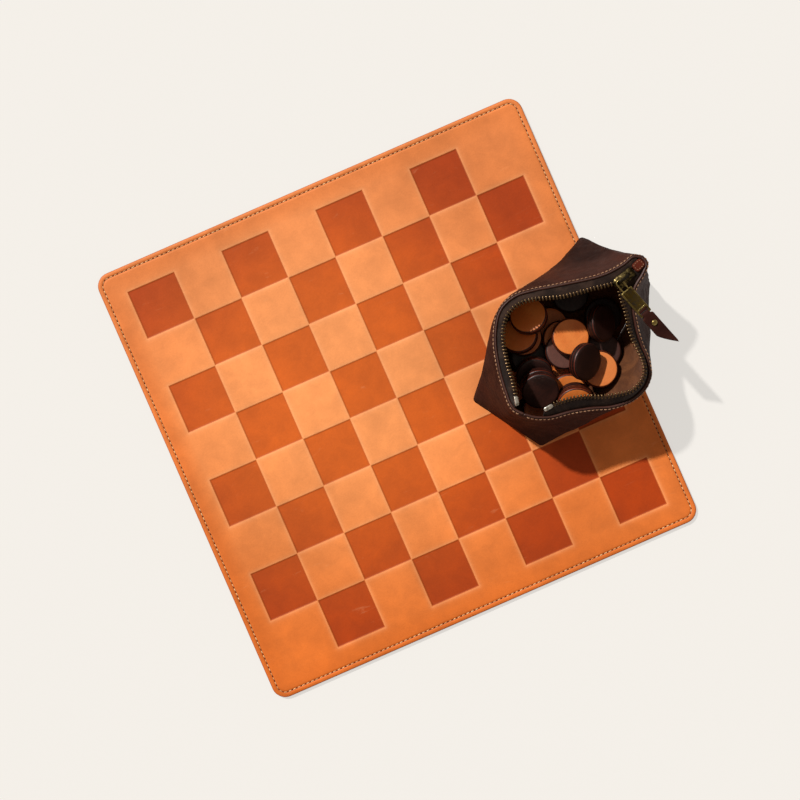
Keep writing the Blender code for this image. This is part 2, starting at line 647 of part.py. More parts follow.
def build_strap(pouch):
    """The leather strap: folded round the plate's end bar, riveted, with a blade-shaped end."""
    neck = 3.4
    edge = STRAP_WIDTH / 2
    start = -STRAP_EYE / 2 - 0.9
    turn = Matrix.Rotation(STRAP_YAW, 3, "Z")
    blade = [(2.2, -edge), (STRAP_LENGTH * 0.62, -edge + 0.4), (STRAP_LENGTH * 0.8, -edge + 2.0),
             (STRAP_LENGTH, edge - 1.0), (STRAP_LENGTH * 0.94, edge - 0.2), (2.2, edge)]
    outline = [(1.4, neck), (start, neck), (start, -neck), (1.4, -neck)]
    outline += [tuple((turn @ Vector((x, y, 0)))[:2]) for x, y in blade]
    outline = [(x * MM, y * MM) for x, y in outline]
    half = STRAP_THICK / 2 * MM
    strap = add_object("leather_pull", slab("leather_pull", outline, -half, half), "pouch_leather", pouch)
    frame = strap_frame()
    strap.matrix_local = frame
    rivet_at = turn @ Vector((RIVET_AT, 0, 0))
    eye = part_box("strap_eye", (STRAP_EYE, STRAP_WIDTH * 2, STRAP_EYE), (0, 0, 0))
    hole = rod_mesh(
        "strap_hole", (rivet_at + Vector((0, 0, -3))) * MM, (rivet_at + Vector((0, 0, 3))) * MM,
        (RIVET_SHANK + 0.3) * MM, 12,
    )
    shape_with(strap, frame, [eye, hole], pouch, "DIFFERENCE")

    face = STRAP_THICK / 2 + 0.3
    rivet = add_object(
        "pull_rivet",
        rod_mesh("pull_rivet", (rivet_at + Vector((0, 0, -face - 0.2))) * MM,
                 (rivet_at + Vector((0, 0, face + 0.2))) * MM, RIVET_SHANK * MM, 12),
        "antique_brass",
        pouch,
    )
    rivet.matrix_local = frame
    caps = []
    for i, way in enumerate((1, -1)):
        work = bmesh.new()
        bmesh.ops.create_cone(
            work, cap_ends=True, segments=16, radius1=RIVET_CAP * MM, radius2=RIVET_CAP * 0.55 * MM, depth=1.2 * MM
        )
        flip = Matrix.Rotation(0 if way > 0 else math.pi, 4, "X")
        place = Matrix.Translation((rivet_at + Vector((0, 0, way * (face + 0.6)))) * MM)
        bmesh.ops.transform(work, matrix=place @ flip, verts=work.verts)
        caps.append(mesh_from("rivet_cap_%d" % i, work))
    shape_with(rivet, frame, caps, pouch, "UNION")


def checker_mesh(name):
    """A round of leather with rounded rims."""
    work = bmesh.new()
    bmesh.ops.create_cone(
        work, cap_ends=True, segments=CHECKER_SIDES,
        radius1=CHECKER_RADIUS * MM, radius2=CHECKER_RADIUS * MM, depth=CHECKER_THICK * MM,
    )
    rims = [e for e in work.edges if abs(e.verts[0].co.z - e.verts[1].co.z) < 1e-7]
    bmesh.ops.bevel(work, geom=rims, offset=CHECKER_ROUND * MM, segments=1, affect="EDGES", profile=0.5)
    return mesh_from(name, work)


def build_checkers(colour, places, pouch):
    mesh = checker_mesh(colour + "_checker")
    mesh.materials.append(material(colour + "_leather"))
    for number, (a, b, height, tilt, lean) in enumerate(places, 1):
        made = add_object("%s_checker_%02d" % (colour, number), mesh, None, pouch)
        way = Matrix.Rotation(math.radians(lean), 4, "Z")
        turn = way @ Matrix.Rotation(math.radians(tilt), 4, "Y") @ way.inverted()
        made.matrix_local = Matrix.Translation(Vector((a, b, height)) * MM) @ turn


build_mat()
pouch_frame = empty("pouch_frame", POUCH_AT, Matrix.Rotation(POUCH_TURN, 3, "Z"))
for side_sign, side_word in ((1, "left"), (-1, "right")):
    panel_rows = build_panel(side_sign, side_word, pouch_frame)
    teeth_line = build_tape(side_sign, side_word, panel_rows, pouch_frame)
    build_teeth(side_sign, side_word, teeth_line, pouch_frame)
build_foot(pouch_frame)
build_tab(pouch_frame)
build_slider(pouch_frame)
build_pull(pouch_frame)
build_strap(pouch_frame)
build_checkers("tan", TAN_PLACES, pouch_frame)
build_checkers("brown", BROWN_PLACES, pouch_frame)
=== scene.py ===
"""The looks of the leather checkers set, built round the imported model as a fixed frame.

World frame as in the model: origin at the centre of the mat's underside, +X along the board's columns,
+Y along its rows, +Z up. Shapes on the pouch are laid out in millimetres in the pouch's own frame: +X (a)
from the open end of the zip to its closed end, +Y (b) to the left of that, origin at the foot's centre.
"""

import math

import bmesh
import bpy
import numpy as np
from mathutils import Matrix, Vector, noise


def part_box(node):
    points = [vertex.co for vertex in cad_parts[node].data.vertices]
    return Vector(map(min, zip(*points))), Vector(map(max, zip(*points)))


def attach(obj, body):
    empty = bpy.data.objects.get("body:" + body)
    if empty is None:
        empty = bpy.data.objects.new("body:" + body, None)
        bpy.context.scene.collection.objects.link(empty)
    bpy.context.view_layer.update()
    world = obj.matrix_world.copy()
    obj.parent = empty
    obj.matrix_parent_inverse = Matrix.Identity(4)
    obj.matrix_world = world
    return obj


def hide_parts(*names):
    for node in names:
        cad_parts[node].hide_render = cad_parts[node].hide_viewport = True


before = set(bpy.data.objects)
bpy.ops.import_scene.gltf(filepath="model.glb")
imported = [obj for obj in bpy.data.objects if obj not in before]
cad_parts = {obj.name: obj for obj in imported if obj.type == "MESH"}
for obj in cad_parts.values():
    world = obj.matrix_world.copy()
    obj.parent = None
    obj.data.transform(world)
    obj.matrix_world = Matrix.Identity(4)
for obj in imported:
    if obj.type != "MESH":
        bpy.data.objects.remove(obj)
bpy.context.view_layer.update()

MM = 0.001

# Mat.
SQUARE = 44.45
HALF_BOARD = 4 * SQUARE
MAT_LOW, MAT_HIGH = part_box("mat_top")
MAT_HALF = MAT_HIGH.x / MM
MAT_TOP = MAT_HIGH.z / MM
MAT_FLOOR = MAT_LOW.z / MM
BACKING_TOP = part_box("mat_backing")[1].z / MM
MAT_CORNER = 12.0
HALF_GRID = 184.0
KNEE = 170.0
DEBOSS = 0.75
DEBOSS_INSET = 0.45
DEBOSS_RUN = 0.6
SHOULDER_DIP = 0.3
SHOULDER_FADE = 1.9
STITCH_LINE = MAT_HALF - 4.5
STITCH_PITCH = 4.2

# Pouch: the same driving points as the model's.
FOOT_LOW, FOOT_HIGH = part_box("pouch_foot")
FOOT_CENTRE = (FOOT_LOW + FOOT_HIGH) / 2
POUCH_TURN = math.radians(32.8)
POUCH = Matrix.Translation((FOOT_CENTRE.x, FOOT_CENTRE.y, FOOT_LOW.z))
POUCH = POUCH @ Matrix.Rotation(POUCH_TURN, 4, "Z")
FOOT_LENGTH = 171.0
FOOT_WIDTH = 74.0
FOOT_CORNER = 4.0
FOOT_BOW = 4.0
FOOT_SEAM = 0.25
LEATHER = 2.0
EDGE_EASE = 0.5
EDGE_DROP = 0.35
SEAM_GAP = 0.26
SEAM_BLEND = 10
TAPE = 0.8
TAPE_GAP = 0.3
TAPE_SMOOTH = 14
WALL_HEIGHTS = (0.0, 0.16, 0.34, 0.54, 0.75, 0.92, 1.0)
SHOULDER_OUT = 2.0
SHOULDER_DROP = 3.5
OPEN_END = (-74.0, -2.0, 70.0)
CLOSED_END = (86.5, -11.5, 71.5)
LEFT_EDGE = [
    (-74.5, 8, 69), (-66, 21, 67), (-52, 37, 65), (-34, 52, 64), (-14, 61, 64), (2, 58, 65),
    (15, 48, 66.5), (32, 31, 68), (50, 13, 70), (61, 4.5, 71.5), (73, -1.5, 72), (83, -5, 72),
]
RIGHT_EDGE = [
    (-71, -11, 69), (-63.5, -22, 67), (-50, -34, 65), (-38, -47, 63), (-28, -60, 62), (-15, -70, 61),
    (-1, -73.5, 61), (11, -71, 61.5), (21, -62, 62.5), (29, -50, 64), (37, -40, 66), (46, -31, 68),
    (56, -23, 69.5), (65, -20, 71), (75, -19.5, 72), (84, -17, 72),
]
LEFT_TEETH = [
    (-71, 6.3, 71), (-58, 19, 69.5), (-45, 34, 67.5), (-29, 48, 66), (-14, 54, 66), (-2, 52, 67),
    (9, 43.5, 68), (24, 25, 69), (43, 8, 70), (51, 0.5, 70.5), (57, -4.2, 70.5), (66, -6.6, 70.5),
    (83, -10.7, 70.5),
]
RIGHT_TEETH = [
    (-62, -13.4, 71), (-51, -19.5, 70.5), (-41, -28, 69.5), (-33, -37, 69), (-27, -47, 68), (-18, -57, 67.5),
    (-9, -65, 67), (1, -67.5, 67), (10, -65.5, 67), (17, -59, 67.5), (22.5, -50, 68), (27, -42, 68.5),
    (33, -34, 69), (41, -26, 70), (49, -16, 70.5), (56, -9.6, 70.5), (66, -10.3, 70.5), (83, -14.4, 70.5),
]
LEFT_FOLDS = (0.33, 0.65, 0.95)
RIGHT_FOLDS = (0.35, 0.57, 0.95)
LEFT_BULGE = 8.0
RIGHT_BULGE = 6.0
COLUMNS = 200
ROWS = 40
TOOTH_PITCH = 2.85
STOP_LENGTH = 8.5
TEETH_END_A = 71.0

# Slider and pull.
ZIP_AXIS = Vector((0.971, -0.239, 0.0)).normalized()
SLIDER_NOSE = Vector((54.5, -6.2, 70.5))
SLIDER_LENGTH = 19.0
SLIDER_CLEAR = 1.7
SLIDER_PLATE = 1.2
BRIDGE_RISE = 3.7
BRIDGE_THICK = 1.2
BRIDGE_WIDTH = 2.4
BRIDGE_CORNER = 1.6
BRIDGE_NOSE_LEG = 3.6
BRIDGE_TAIL_LEG = 14.5
EYE_WIDTH = 6.5
EYE_WIRE = 1.2
EYE_OFFSET = 2.0
EYE_RISE = 1.7
EYE_LENGTH = 10.0
PULL_YAW = math.radians(-104.5)
PULL_DROP = math.radians(6.0)
PLATE_LENGTH = 26.0
PLATE_WIDTH = 10.8
PLATE_RIM = 1.1
SLOT_LENGTH = 4.4
SLOT_WIDTH = 8.0
END_BAR = 1.3
STRAP_YAW = math.radians(2.0)
STRAP_DROP = math.radians(7.0)
STRAP_LENGTH = 36.0
STRAP_WIDTH = 11.0
STRAP_THICK = 3.6
RIVET_AT = 10.0

# Checkers.
CHECKER_RADIUS = 15.9
CHECKER_THICK = 8.0
CHECKER_SPOKES = 72
FLOOR = LEATHER + 2.3
LEVEL = CHECKER_THICK + 0.35
# Each place: a, b, height of the centre, tilt, the way the top leans.
TAN_PLACES = [
    (4, -1.5, FLOOR + 3 * LEVEL + 2.2, 0, 0),
    (-1.5, 37.5, 36.0, 22, 80),
    (-18.5, 35, 26.5, 18, 80),
    (-4.5, -37.5, FLOOR + 2 * LEVEL + 2.7, 3, 290),
    (-40.5, -36, 34.5, 26, 214),
    (-34.3, -27, 17.9, 14, 214),
    (0, 3, FLOOR + LEVEL + 2.05, 0, 0),
    (-17, 30.3, FLOOR + LEVEL + 2.05, 0, 0),
    (-27.4, -16.9, FLOOR + 2, 0, 0),
    (-59.6, 16.9, FLOOR + 2, 0, 0),
    (4.8, 16.9, FLOOR + 2, 0, 0),
    (-59.6, -16.9, FLOOR + 2, 0, 0),
]
BROWN_PLACES = [
    (-8, -4, FLOOR + 2 * LEVEL + 2.1, 0, 0),
    (-7.5, -22.5, 41.2, 40, 286),
    (28.2, -16.8, 30.8, 45, 304),
    (11, -32.3, FLOOR + LEVEL + 2.05, 0, 0),
    (-47.8, -4.6, 37, 25, 214),
    (-44.9, -2.6, 29.4, 25, 214),
    (-38.5, 5.5, 21.5, 25, 214),
    (-38, -34.8, 26.6, 26, 214),
    (37, 16.9, FLOOR + 2, 0, 0),
    (-27.4, 16.9, FLOOR + 2, 0, 0),
    (4.8, -16.9, FLOOR + 2, 0, 0),
    (37, -16.9, FLOOR + 2, 0, 0),
]
# How far a piece's face is faded, where it is.
PALENESS = {"brown_round_01": 0.85, "brown_round_04": 0.35, "brown_round_03": 0.15, "tan_round_04": 0.4}

# Light, floor and camera.
SUN_HIGH = math.radians(44.0)
SUN_WAY = (0.388, -0.923)
CAMERA_AT = (1.6 * MM, -2.6 * MM, 1.2)
CAMERA_TURN = math.radians(-23.59)
CAMERA_LENS = 62.1
BACKDROP_FAR = 18000.0
BACKDROP_HIGH = 2600.0
BACKDROP_SIDES = 64


# ---------------------------------------------------------------- materials

def tone(red, green, blue):
    """A linear colour from 0 to 255 display values."""
    parts = [c / 255.0 for c in (red, green, blue)]
    return (*[c / 12.92 if c <= 0.04045 else ((c + 0.055) / 1.055) ** 2.4 for c in parts], 1.0)


class Shader:
    """A material whose nodes are added one call at a time."""

    def __init__(self, name, **settings):
        self.material = bpy.data.materials.new(name)
        self.material.use_nodes = True
        self.tree = self.material.node_tree
        self.principled = self.tree.nodes["Principled BSDF"]
        self.coordinate = self.add("TexCoord").outputs["Object"]
        self.set(**settings)

    def set(self, **settings):
        for name, value in settings.items():
            self.plug(self.principled.inputs[name.replace("_", " ")], value)

    def plug(self, socket, value):
        if isinstance(value, bpy.types.NodeSocket):
            self.tree.links.new(value, socket)
        elif value is not None:
            socket.default_value = value

    def add(self, kind, inputs=(), **settings):
        node = self.tree.nodes.new("ShaderNode" + kind)
        for name, value in settings.items():
            setattr(node, name, value)
        for key, value in dict(inputs).items():
            self.plug(node.inputs[key], value)
        return node

    def math(self, operation, first, second=0.0, third=0.0):
        return self.add("Math", {0: first, 1: second, 2: third}, operation=operation).outputs[0]

    def plus(self, first, second):
        return self.math("ADD", first, second)

    def times(self, first, second):
        return self.math("MULTIPLY", first, second)

    def off(self, value, middle=0.0):
        """How far a value is from a middle one."""
        return self.math("ABSOLUTE", self.math("SUBTRACT", value, middle) if middle else value)

    def triple(self, value, kind="CombineColor"):
        return self.add(kind, {0: value, 1: value, 2: value}).outputs[0]

    def noise(self, scale, detail=3.0, roughness=0.55, at=None, stretch=None, twist=0.0):
        where = at or self.coordinate
        if stretch:
            where = self.add("Mapping", {"Vector": where, "Scale": stretch}).outputs[0]
        inputs = {
            "Vector": where, "Scale": scale, "Detail": detail, "Roughness": roughness, "Distortion": twist,
        }
        return self.add("TexNoise", inputs).outputs["Fac"]

    def cells(self, scale, feature="F1", at=None):
        inputs = {"Vector": at or self.coordinate, "Scale": scale}
        return self.add("TexVoronoi", inputs, feature=feature).outputs["Distance"]

    def span(self, value, low, high, to_low=0.0, to_high=1.0):
        inputs = {0: value, 1: low, 2: high, 3: to_low, 4: to_high}
        return self.add("MapRange", inputs, interpolation_type="SMOOTHSTEP").outputs[0]

    def mix(self, share, first, second, blend="MIX"):
        node = self.add("Mix", data_type="RGBA", blend_type=blend)
        self.plug(node.inputs[0], share)
        self.plug(node.inputs[6], first)
        self.plug(node.inputs[7], second)
        return node.outputs[2]

    def ramp(self, share, *stops):
        node = self.add("ValToRGB", {"Fac": share})
        elements = node.color_ramp.elements
        while len(elements) < len(stops):
            elements.new(0.5)
        for element, (place, colour) in zip(elements, stops):
            element.position = place
            element.color = colour
        return node.outputs["Color"]

    def shade(self, colour, value, low, high):
        """The colour, made darker or lighter by a value from 0 to 1."""
        return self.mix(1.0, colour, self.triple(self.span(value, 0.25, 0.75, low, high)), "MULTIPLY")

    def bump(self, *layers):
        """Bumps laid on each other, each a height from 0 to 1 and its depth in millimetres."""
        normal = None
        for height, depth in layers:
            inputs = {"Height": height, "Distance": depth * MM, "Strength": 1.0}
            node = self.add("Bump", inputs)
            if normal:
                self.plug(node.inputs["Normal"], normal)
            normal = node.outputs["Normal"]
        self.set(Normal=normal)

    def field(self, name):
        return self.add("Attribute", attribute_name=name).outputs["Fac"]

    def parts(self, at=None):
        return self.add("SeparateXYZ", {0: at or self.coordinate}).outputs


def mat_leather():
    """Vegetable-tanned leather: pale and dark squares, cloudy dye, fine pores, a painted pool and fall-off of
    light, painted highlights on the shoulders round the dark squares and painted shade along their walls.
    """
    s = Shader("mat_leather")
    x, y, _ = s.parts()
    # Painted light: a pool of light round a point 50 mm to -X and 30 mm to +Y of the centre, and light that grows
    # towards +Y and a little towards +X.
    from_light_pool = s.add("VectorMath", {0: s.coordinate, 1: (-0.05, 0.03, 0.0)}, operation="DISTANCE")
    away = from_light_pool.outputs["Value"]
    painted_light_pool = s.span(away, 0.24, 0.04)
    low = s.plus(s.times(x, 0.4), y)
    painted_light_falloff = s.span(low, -0.26, 0.2)
    # The pale squares, the margin and the dark squares are painted brighter inside the pool and where more light
    # is painted; near is the pale colour with less painted light, far the one with more.
    near = s.mix(painted_light_pool, tone(228, 118, 44), tone(246, 152, 84))
    far = s.mix(painted_light_pool, tone(230, 134, 72), tone(250, 160, 96))
    pale = s.mix(painted_light_falloff, near, far)
    margin = s.mix(painted_light_falloff, tone(222, 112, 38), tone(230, 132, 68))
    deep = s.mix(painted_light_pool, tone(176, 62, 4), tone(212, 98, 26))
    colour = s.mix(s.field("margin"), pale, margin)
    colour = s.mix(s.field("dark"), colour, deep)
    # Painted highlight: the soft shoulders round the dark squares are painted paler, as if they catch the light.
    colour = s.mix(s.times(s.field("shoulder"), 0.5), colour, tone(252, 178, 122))
    # Painted shade: a dark line along the walls of the debossed dark squares.
    colour = s.mix(s.times(s.field("crease"), 0.35), colour, tone(112, 38, 4))
    cloud = s.noise(9.0, 3.0, 0.6, twist=0.4)
    patch = s.noise(55.0, 5.0, 0.65, twist=0.3)
    pore = s.noise(700.0, 2.0)
    colour = s.shade(colour, cloud, 0.86, 1.1)
    colour = s.shade(colour, patch, 0.9, 1.08)
    colour = s.shade(colour, pore, 0.97, 1.03)
    scuff = s.span(s.noise(30.0, 6.0, 0.7, stretch=(1.0, 5.0, 1.0), twist=1.0), 0.62, 0.74)
    colour = s.mix(s.times(scuff, 0.12), colour, tone(250, 190, 140))
    edge = s.times(s.field("edge"), s.span(patch, 0.3, 0.6, 0.7, 1.0))
    colour = s.mix(edge, colour, tone(120, 52, 22))
    s.set(Base_Color=colour, Specular_IOR_Level=0.25)
    s.set(Roughness=s.span(s.plus(cloud, s.times(patch, 0.6)), 0.5, 1.1, 0.66, 0.54))
    s.bump((s.cells(900.0), 0.03), (pore, 0.03), (patch, 0.12))
    return s.material


def flesh_side():
    s = Shader("mat_backing", Roughness=0.9)
    fibre = s.noise(420.0, 4.0, 0.7, stretch=(1.0, 0.5, 1.0))
    cloud = s.noise(26.0, 4.0, 0.6)
    colour = s.shade(s.mix(cloud, tone(160, 100, 58), tone(188, 128, 82)), fibre, 0.86, 1.1)
    s.set(Base_Color=colour)
    s.bump((fibre, 0.12), (cloud, 0.2))
    return s.material


def thread_cotton(name, pale, dark, lay=1500.0):
    """Waxed thread, with the twist of its strands."""
    s = Shader(name, Roughness=0.62)
    strand = s.noise(lay, 2.0, 0.5)
    dirt = s.noise(140.0, 3.0, 0.6)
    colour = s.mix(s.span(dirt, 0.35, 0.65), dark, pale)
    s.set(Base_Color=s.shade(colour, strand, 0.8, 1.1))
    s.bump((strand, 0.06),)
    return s.material


# Dark discs put into the stitch holes as painted shade.
def painted_hole_shade():
    s = Shader("stitch_hole_shade", Roughness=0.9)
    s.set(Base_Color=s.shade(tone(58, 24, 10), s.noise(900.0), 0.7, 1.2))
    return s.material


def pouch_leather(name="pouch_leather", deep=(36, 17, 12), lit=(58, 33, 26), red=(66, 33, 23)):
    """Oiled pull-up leather: dark brown and cloudy, with random paler and darker rubbed patches; the real leather
    is paler where it has been bent and rubbed.
    """
    s = Shader(name)
    cloud = s.noise(22.0, 4.0, 0.6, twist=0.6)
    rub = s.noise(70.0, 6.0, 0.7, stretch=(1.0, 1.0, 2.4), twist=0.8)
    grain = s.cells(850.0, "DISTANCE_TO_EDGE")
    pore = s.noise(1300.0, 2.0)
    colour = s.ramp(cloud, (0.32, tone(*deep)), (0.55, tone(*lit)), (0.75, tone(*red)))
    colour = s.shade(colour, rub, 0.82, 1.16)
    colour = s.shade(colour, pore, 0.92, 1.08)
    crease = s.span(grain, 0.0, 0.09, 0.55, 1.0)
    colour = s.mix(0.5, colour, s.triple(crease), "MULTIPLY")
    s.set(Base_Color=colour, Specular_IOR_Level=0.07)
    s.set(Roughness=s.span(rub, 0.3, 0.7, 0.74, 0.58))
    s.bump((s.span(grain, 0.0, 0.14), 0.05), (pore, 0.03), (rub, 0.25), (cloud, 0.4))
    return s.material


def suede():
    """The flesh side of the pouch leather: brown, with a nap."""
    s = Shader("pouch_suede", Roughness=0.95, Specular_IOR_Level=0.15)
    nap = s.noise(900.0, 4.0, 0.75)
    brush = s.noise(60.0, 4.0, 0.6, twist=1.2)
    colour = s.mix(s.span(brush, 0.35, 0.65), tone(84, 46, 22), tone(108, 64, 34))
    s.set(Base_Color=s.shade(colour, nap, 0.72, 1.15), Sheen_Weight=0.25)
    s.bump((nap, 0.14), (brush, 0.25))
    return s.material


def raw_edge(name="raw_edge", deep=(46, 20, 13), lit=(80, 40, 27)):
    """A cut, burnished edge of leather, with a fine fibre texture and a patchy tint; its layers are not drawn."""
    s = Shader(name, Roughness=0.5)
    fibre = s.noise(900.0, 4.0, 0.7)
    tint = s.noise(90.0, 3.0, 0.6)
    s.set(Base_Color=s.shade(s.mix(tint, tone(*deep), tone(*lit)), fibre, 0.75, 1.12))
    s.bump((fibre, 0.1),)
    return s.material


def zip_tape():
    """Woven cotton tape: a fine herringbone that follows the zip."""
    s = Shader("zip_tape", Roughness=0.88, Sheen_Weight=0.05, Specular_IOR_Level=0.08)
    flow = s.add("Attribute", attribute_name="flow").outputs["Vector"]
    along_tape, across, _ = s.parts(flow)
    rib = s.math("SINE", s.times(across, 2 * math.pi / 0.62))
    slant = s.plus(s.times(s.off(across, 3.2), 1.4), along_tape)
    twill = s.math("SINE", s.times(slant, 2 * math.pi / 0.78))
    weave = s.math("MULTIPLY_ADD", s.plus(rib, twill), 0.25, 0.5)
    fuzz = s.noise(1500.0, 3.0, 0.7)
    dust = s.noise(80.0, 4.0, 0.6)
    colour = s.mix(s.span(dust, 0.4, 0.7), tone(36, 26, 22), tone(60, 44, 36))
    colour = s.shade(colour, weave, 0.62, 1.25)
    s.set(Base_Color=s.shade(colour, fuzz, 0.85, 1.12))
    s.bump((weave, 0.16), (fuzz, 0.05))
    return s.material


def antique_brass(
    name="antique_brass", bright=(178, 158, 98), dull=(88, 70, 28), black=(30, 22, 12), worn=0.6
):
    """Antique brass: dark oxide in the low places and the brushed metal through it where it is rubbed."""
    s = Shader(name)
    oxide = s.noise(210.0, 6.0, 0.7, twist=0.6)
    scratch = s.noise(500.0, 3.0, 0.6, stretch=(1.0, 9.0, 1.0))
    speck = s.noise(1400.0, 2.0)
    rub = s.plus(s.times(s.field("wear"), 0.55), oxide)
    rub = s.plus(rub, s.times(s.math("SUBTRACT", scratch, 0.5), 0.25))
    colour = s.ramp(rub, (0.36, tone(*black)), (worn, tone(*dull)), (0.86, tone(*bright)))
    s.set(Base_Color=s.shade(colour, speck, 0.85, 1.12))
    s.set(Metallic=s.span(rub, 0.38, 0.6, 0.55, 1.0), Roughness=s.span(rub, 0.4, 0.85, 0.55, 0.3))
    s.bump((scratch, 0.02), (oxide, 0.05))
    return s.material


def bright_metal():
    s = Shader("bright_metal", Metallic=1.0)
    scratch = s.noise(900.0, 3.0, 0.6, stretch=(1.0, 6.0, 1.0))
    tarnish = s.noise(260.0, 4.0, 0.6)
    s.set(Base_Color=s.mix(s.span(tarnish, 0.4, 0.7), tone(216, 212, 200), tone(140, 132, 116)))
    s.set(Roughness=s.span(scratch, 0.3, 0.7, 0.24, 0.42))
    s.bump((scratch, 0.015),)
    return s.material


def checker_leather(name, faces, streaky, faded, rim, seam):
    """A stacked-leather round: waxed faces with burnish streaks that are also painted lighter and darker as sheen,
    a burnished rim and a sanded, layered edge.
    """
    s = Shader(name)
    x, y, z = s.parts()
    seed = s.field("seed")
    flat = s.add("CombineXYZ", {0: x, 1: y}).outputs[0]
    radius = s.add("VectorMath", {0: flat}, operation="LENGTH").outputs["Value"]
    place = s.add("VectorMath", {0: s.coordinate, 1: s.triple(seed, "CombineXYZ")}).outputs[0]
    cloud = s.noise(48.0, 4.0, 0.6, at=place, twist=0.5)
    grain = s.cells(1000.0, "DISTANCE_TO_EDGE", at=place)
    pore = s.noise(1200.0, 2.0, at=place)
    burnish_and_sheen = s.noise(230.0, 4.0, 0.65, at=place, stretch=(1.0, 7.0, 1.0), twist=0.2)
    face = s.mix(s.span(cloud, 0.35, 0.68), tone(*faces[0]), tone(*faces[1]))
    face = s.mix(s.field("pale"), face, tone(*faded))
    # The face is painted lighter and darker along the streaks as sheen; the streaks are also real burnish marks in
    # the bumps and the roughness.
    face = s.shade(face, burnish_and_sheen, streaky, 2.0 - streaky)
    face = s.shade(face, pore, 0.95, 1.05)
    layer = s.math("SINE", s.times(z, 2 * math.pi / (1.25 * MM)))
    sand = s.noise(600.0, 3.0, 0.7, at=place, stretch=(1.0, 1.0, 0.18))
    side = s.mix(s.span(sand, 0.35, 0.7), tone(*rim[0]), tone(*rim[1]))
    side = s.shade(side, s.math("MULTIPLY_ADD", layer, 0.25, 0.5), 0.75, 1.2)
    line = s.span(s.off(s.off(z), 2.9 * MM), 0.15 * MM, 0.45 * MM, 1.0, 0.0)
    middle = s.span(s.off(z), 0.1 * MM, 0.35 * MM, 0.8, 0.0)
    line = s.times(s.math("MAXIMUM", line, middle), s.span(cloud, 0.3, 0.55, 0.35, 1.0))
    side = s.mix(line, side, tone(*seam))
    wobble = s.plus(radius, s.times(s.math("SUBTRACT", cloud, 0.5), 0.6 * MM))
    ring = s.span(wobble, (CHECKER_RADIUS - 1.6) * MM, (CHECKER_RADIUS - 1.05) * MM)
    s.set(Base_Color=s.mix(ring, face, side), Specular_IOR_Level=0.4)
    s.set(Roughness=s.span(s.plus(cloud, burnish_and_sheen), 0.7, 1.3, 0.5, 0.34), Coat_Weight=0.06, Coat_Roughness=0.3)
    s.bump((s.span(grain, 0.0, 0.12), 0.02), (pore, 0.02), (burnish_and_sheen, 0.06), (sand, 0.05))
    return s.material


THREAD_TAN = thread_cotton("thread_tan", tone(240, 204, 150), tone(204, 150, 96))
THREAD_POUCH = thread_cotton("thread_pouch", tone(180, 138, 104), tone(134, 92, 64))
# The dark discs painted as the shade in the stitch holes.
HOLE_SHADE = painted_hole_shade()
POUCH_LEATHER = pouch_leather()
STRAP_LEATHER = pouch_leather("strap_leather", (44, 19, 15), (62, 31, 25), (74, 35, 27))
TAB_LEATHER = pouch_leather("tab_leather", (72, 26, 16), (100, 42, 26), (116, 54, 34))
SUEDE = suede()
RAW_EDGE = raw_edge()
ZIP_TAPE = zip_tape()
BRASS = antique_brass()
SLIDER_BRASS = antique_brass("slider_brass", (150, 132, 84), (44, 36, 20), (19, 15, 10), 0.68)
TEETH_BRASS = antique_brass("teeth_brass", (108, 86, 60), (44, 34, 25), (18, 13, 10), 0.66)
BRIGHT = bright_metal()
TAN = checker_leather(
    "tan_leather", ((218, 112, 42), (234, 134, 62)), 0.93, (236, 142, 84), ((40, 18, 10), (76, 34, 18)),
    (140, 52, 22),
)
BROWN = checker_leather(
    "brown_leather", ((34, 15, 11), (58, 32, 26)), 0.68, (104, 64, 54), ((22, 10, 7), (44, 22, 16)),
    (104, 36, 18),
)


# ---------------------------------------------------------------- shapes

def solid(name, points, faces, materials, slots=None, place=None, body=None, smooth=True):
    """An object from points in millimetres."""
    mesh = bpy.data.meshes.new(name)
    mesh.from_pydata([tuple(p * MM for p in point) for point in points], [], faces)
    for material in materials:
        mesh.materials.append(material)
    if slots is not None:
        mesh.polygons.foreach_set("material_index", slots)
    mesh.polygons.foreach_set("use_smooth", [smooth] * len(mesh.polygons))
    mesh.validate()
    work = bmesh.new()
    work.from_mesh(mesh)
    bmesh.ops.recalc_face_normals(work, faces=work.faces)
    work.to_mesh(mesh)
    work.free()
    made = bpy.data.objects.new(name, mesh)
    bpy.context.scene.collection.objects.link(made)
    if place is POUCH:
        mesh.transform(place)
    elif place is not None:
        made.matrix_world = place
    if body:
        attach(made, body)
    return made


def give(made, name, values, kind="FLOAT"):
    """A named value at each point of a mesh."""
    attribute = made.data.attributes.new(name, kind, "POINT")
    key = "vector" if kind == "FLOAT_VECTOR" else "value"
    attribute.data.foreach_set(key, np.asarray(values, np.float32).ravel())


def cap(first, count):
    """The face across a loop of points."""
    return tuple(range(first, first + count))


def strips(count, length, closed, start=0):
    """Faces between loops of the same length; closed joins each loop's end to its start."""
    faces = []
    for i in range(count - 1):
        for j in range(length if closed else length - 1):
            k = (j + 1) % length
            a = start + i * length
            b = a + length
            faces.append((a + j, a + k, b + k, b + j))
    return faces


def loft(name, loops, materials, place=None, body=None, slots=None, caps=True):
    """A closed solid through closed loops of points."""
    loops = [np.asarray(loop, float) for loop in loops]
    length = len(loops[0])
    faces = strips(len(loops), length, True)
    marks = None
    if slots is not None:
        marks = [slots[j] for _ in range(len(loops) - 1) for j in range(length)]
    if caps:
        faces += [cap(0, length), cap((len(loops) - 1) * length, length)]
        if marks is not None:
            marks += [slots[0], slots[0]]
    return solid(name, np.concatenate(loops), faces, materials, marks, place, body)


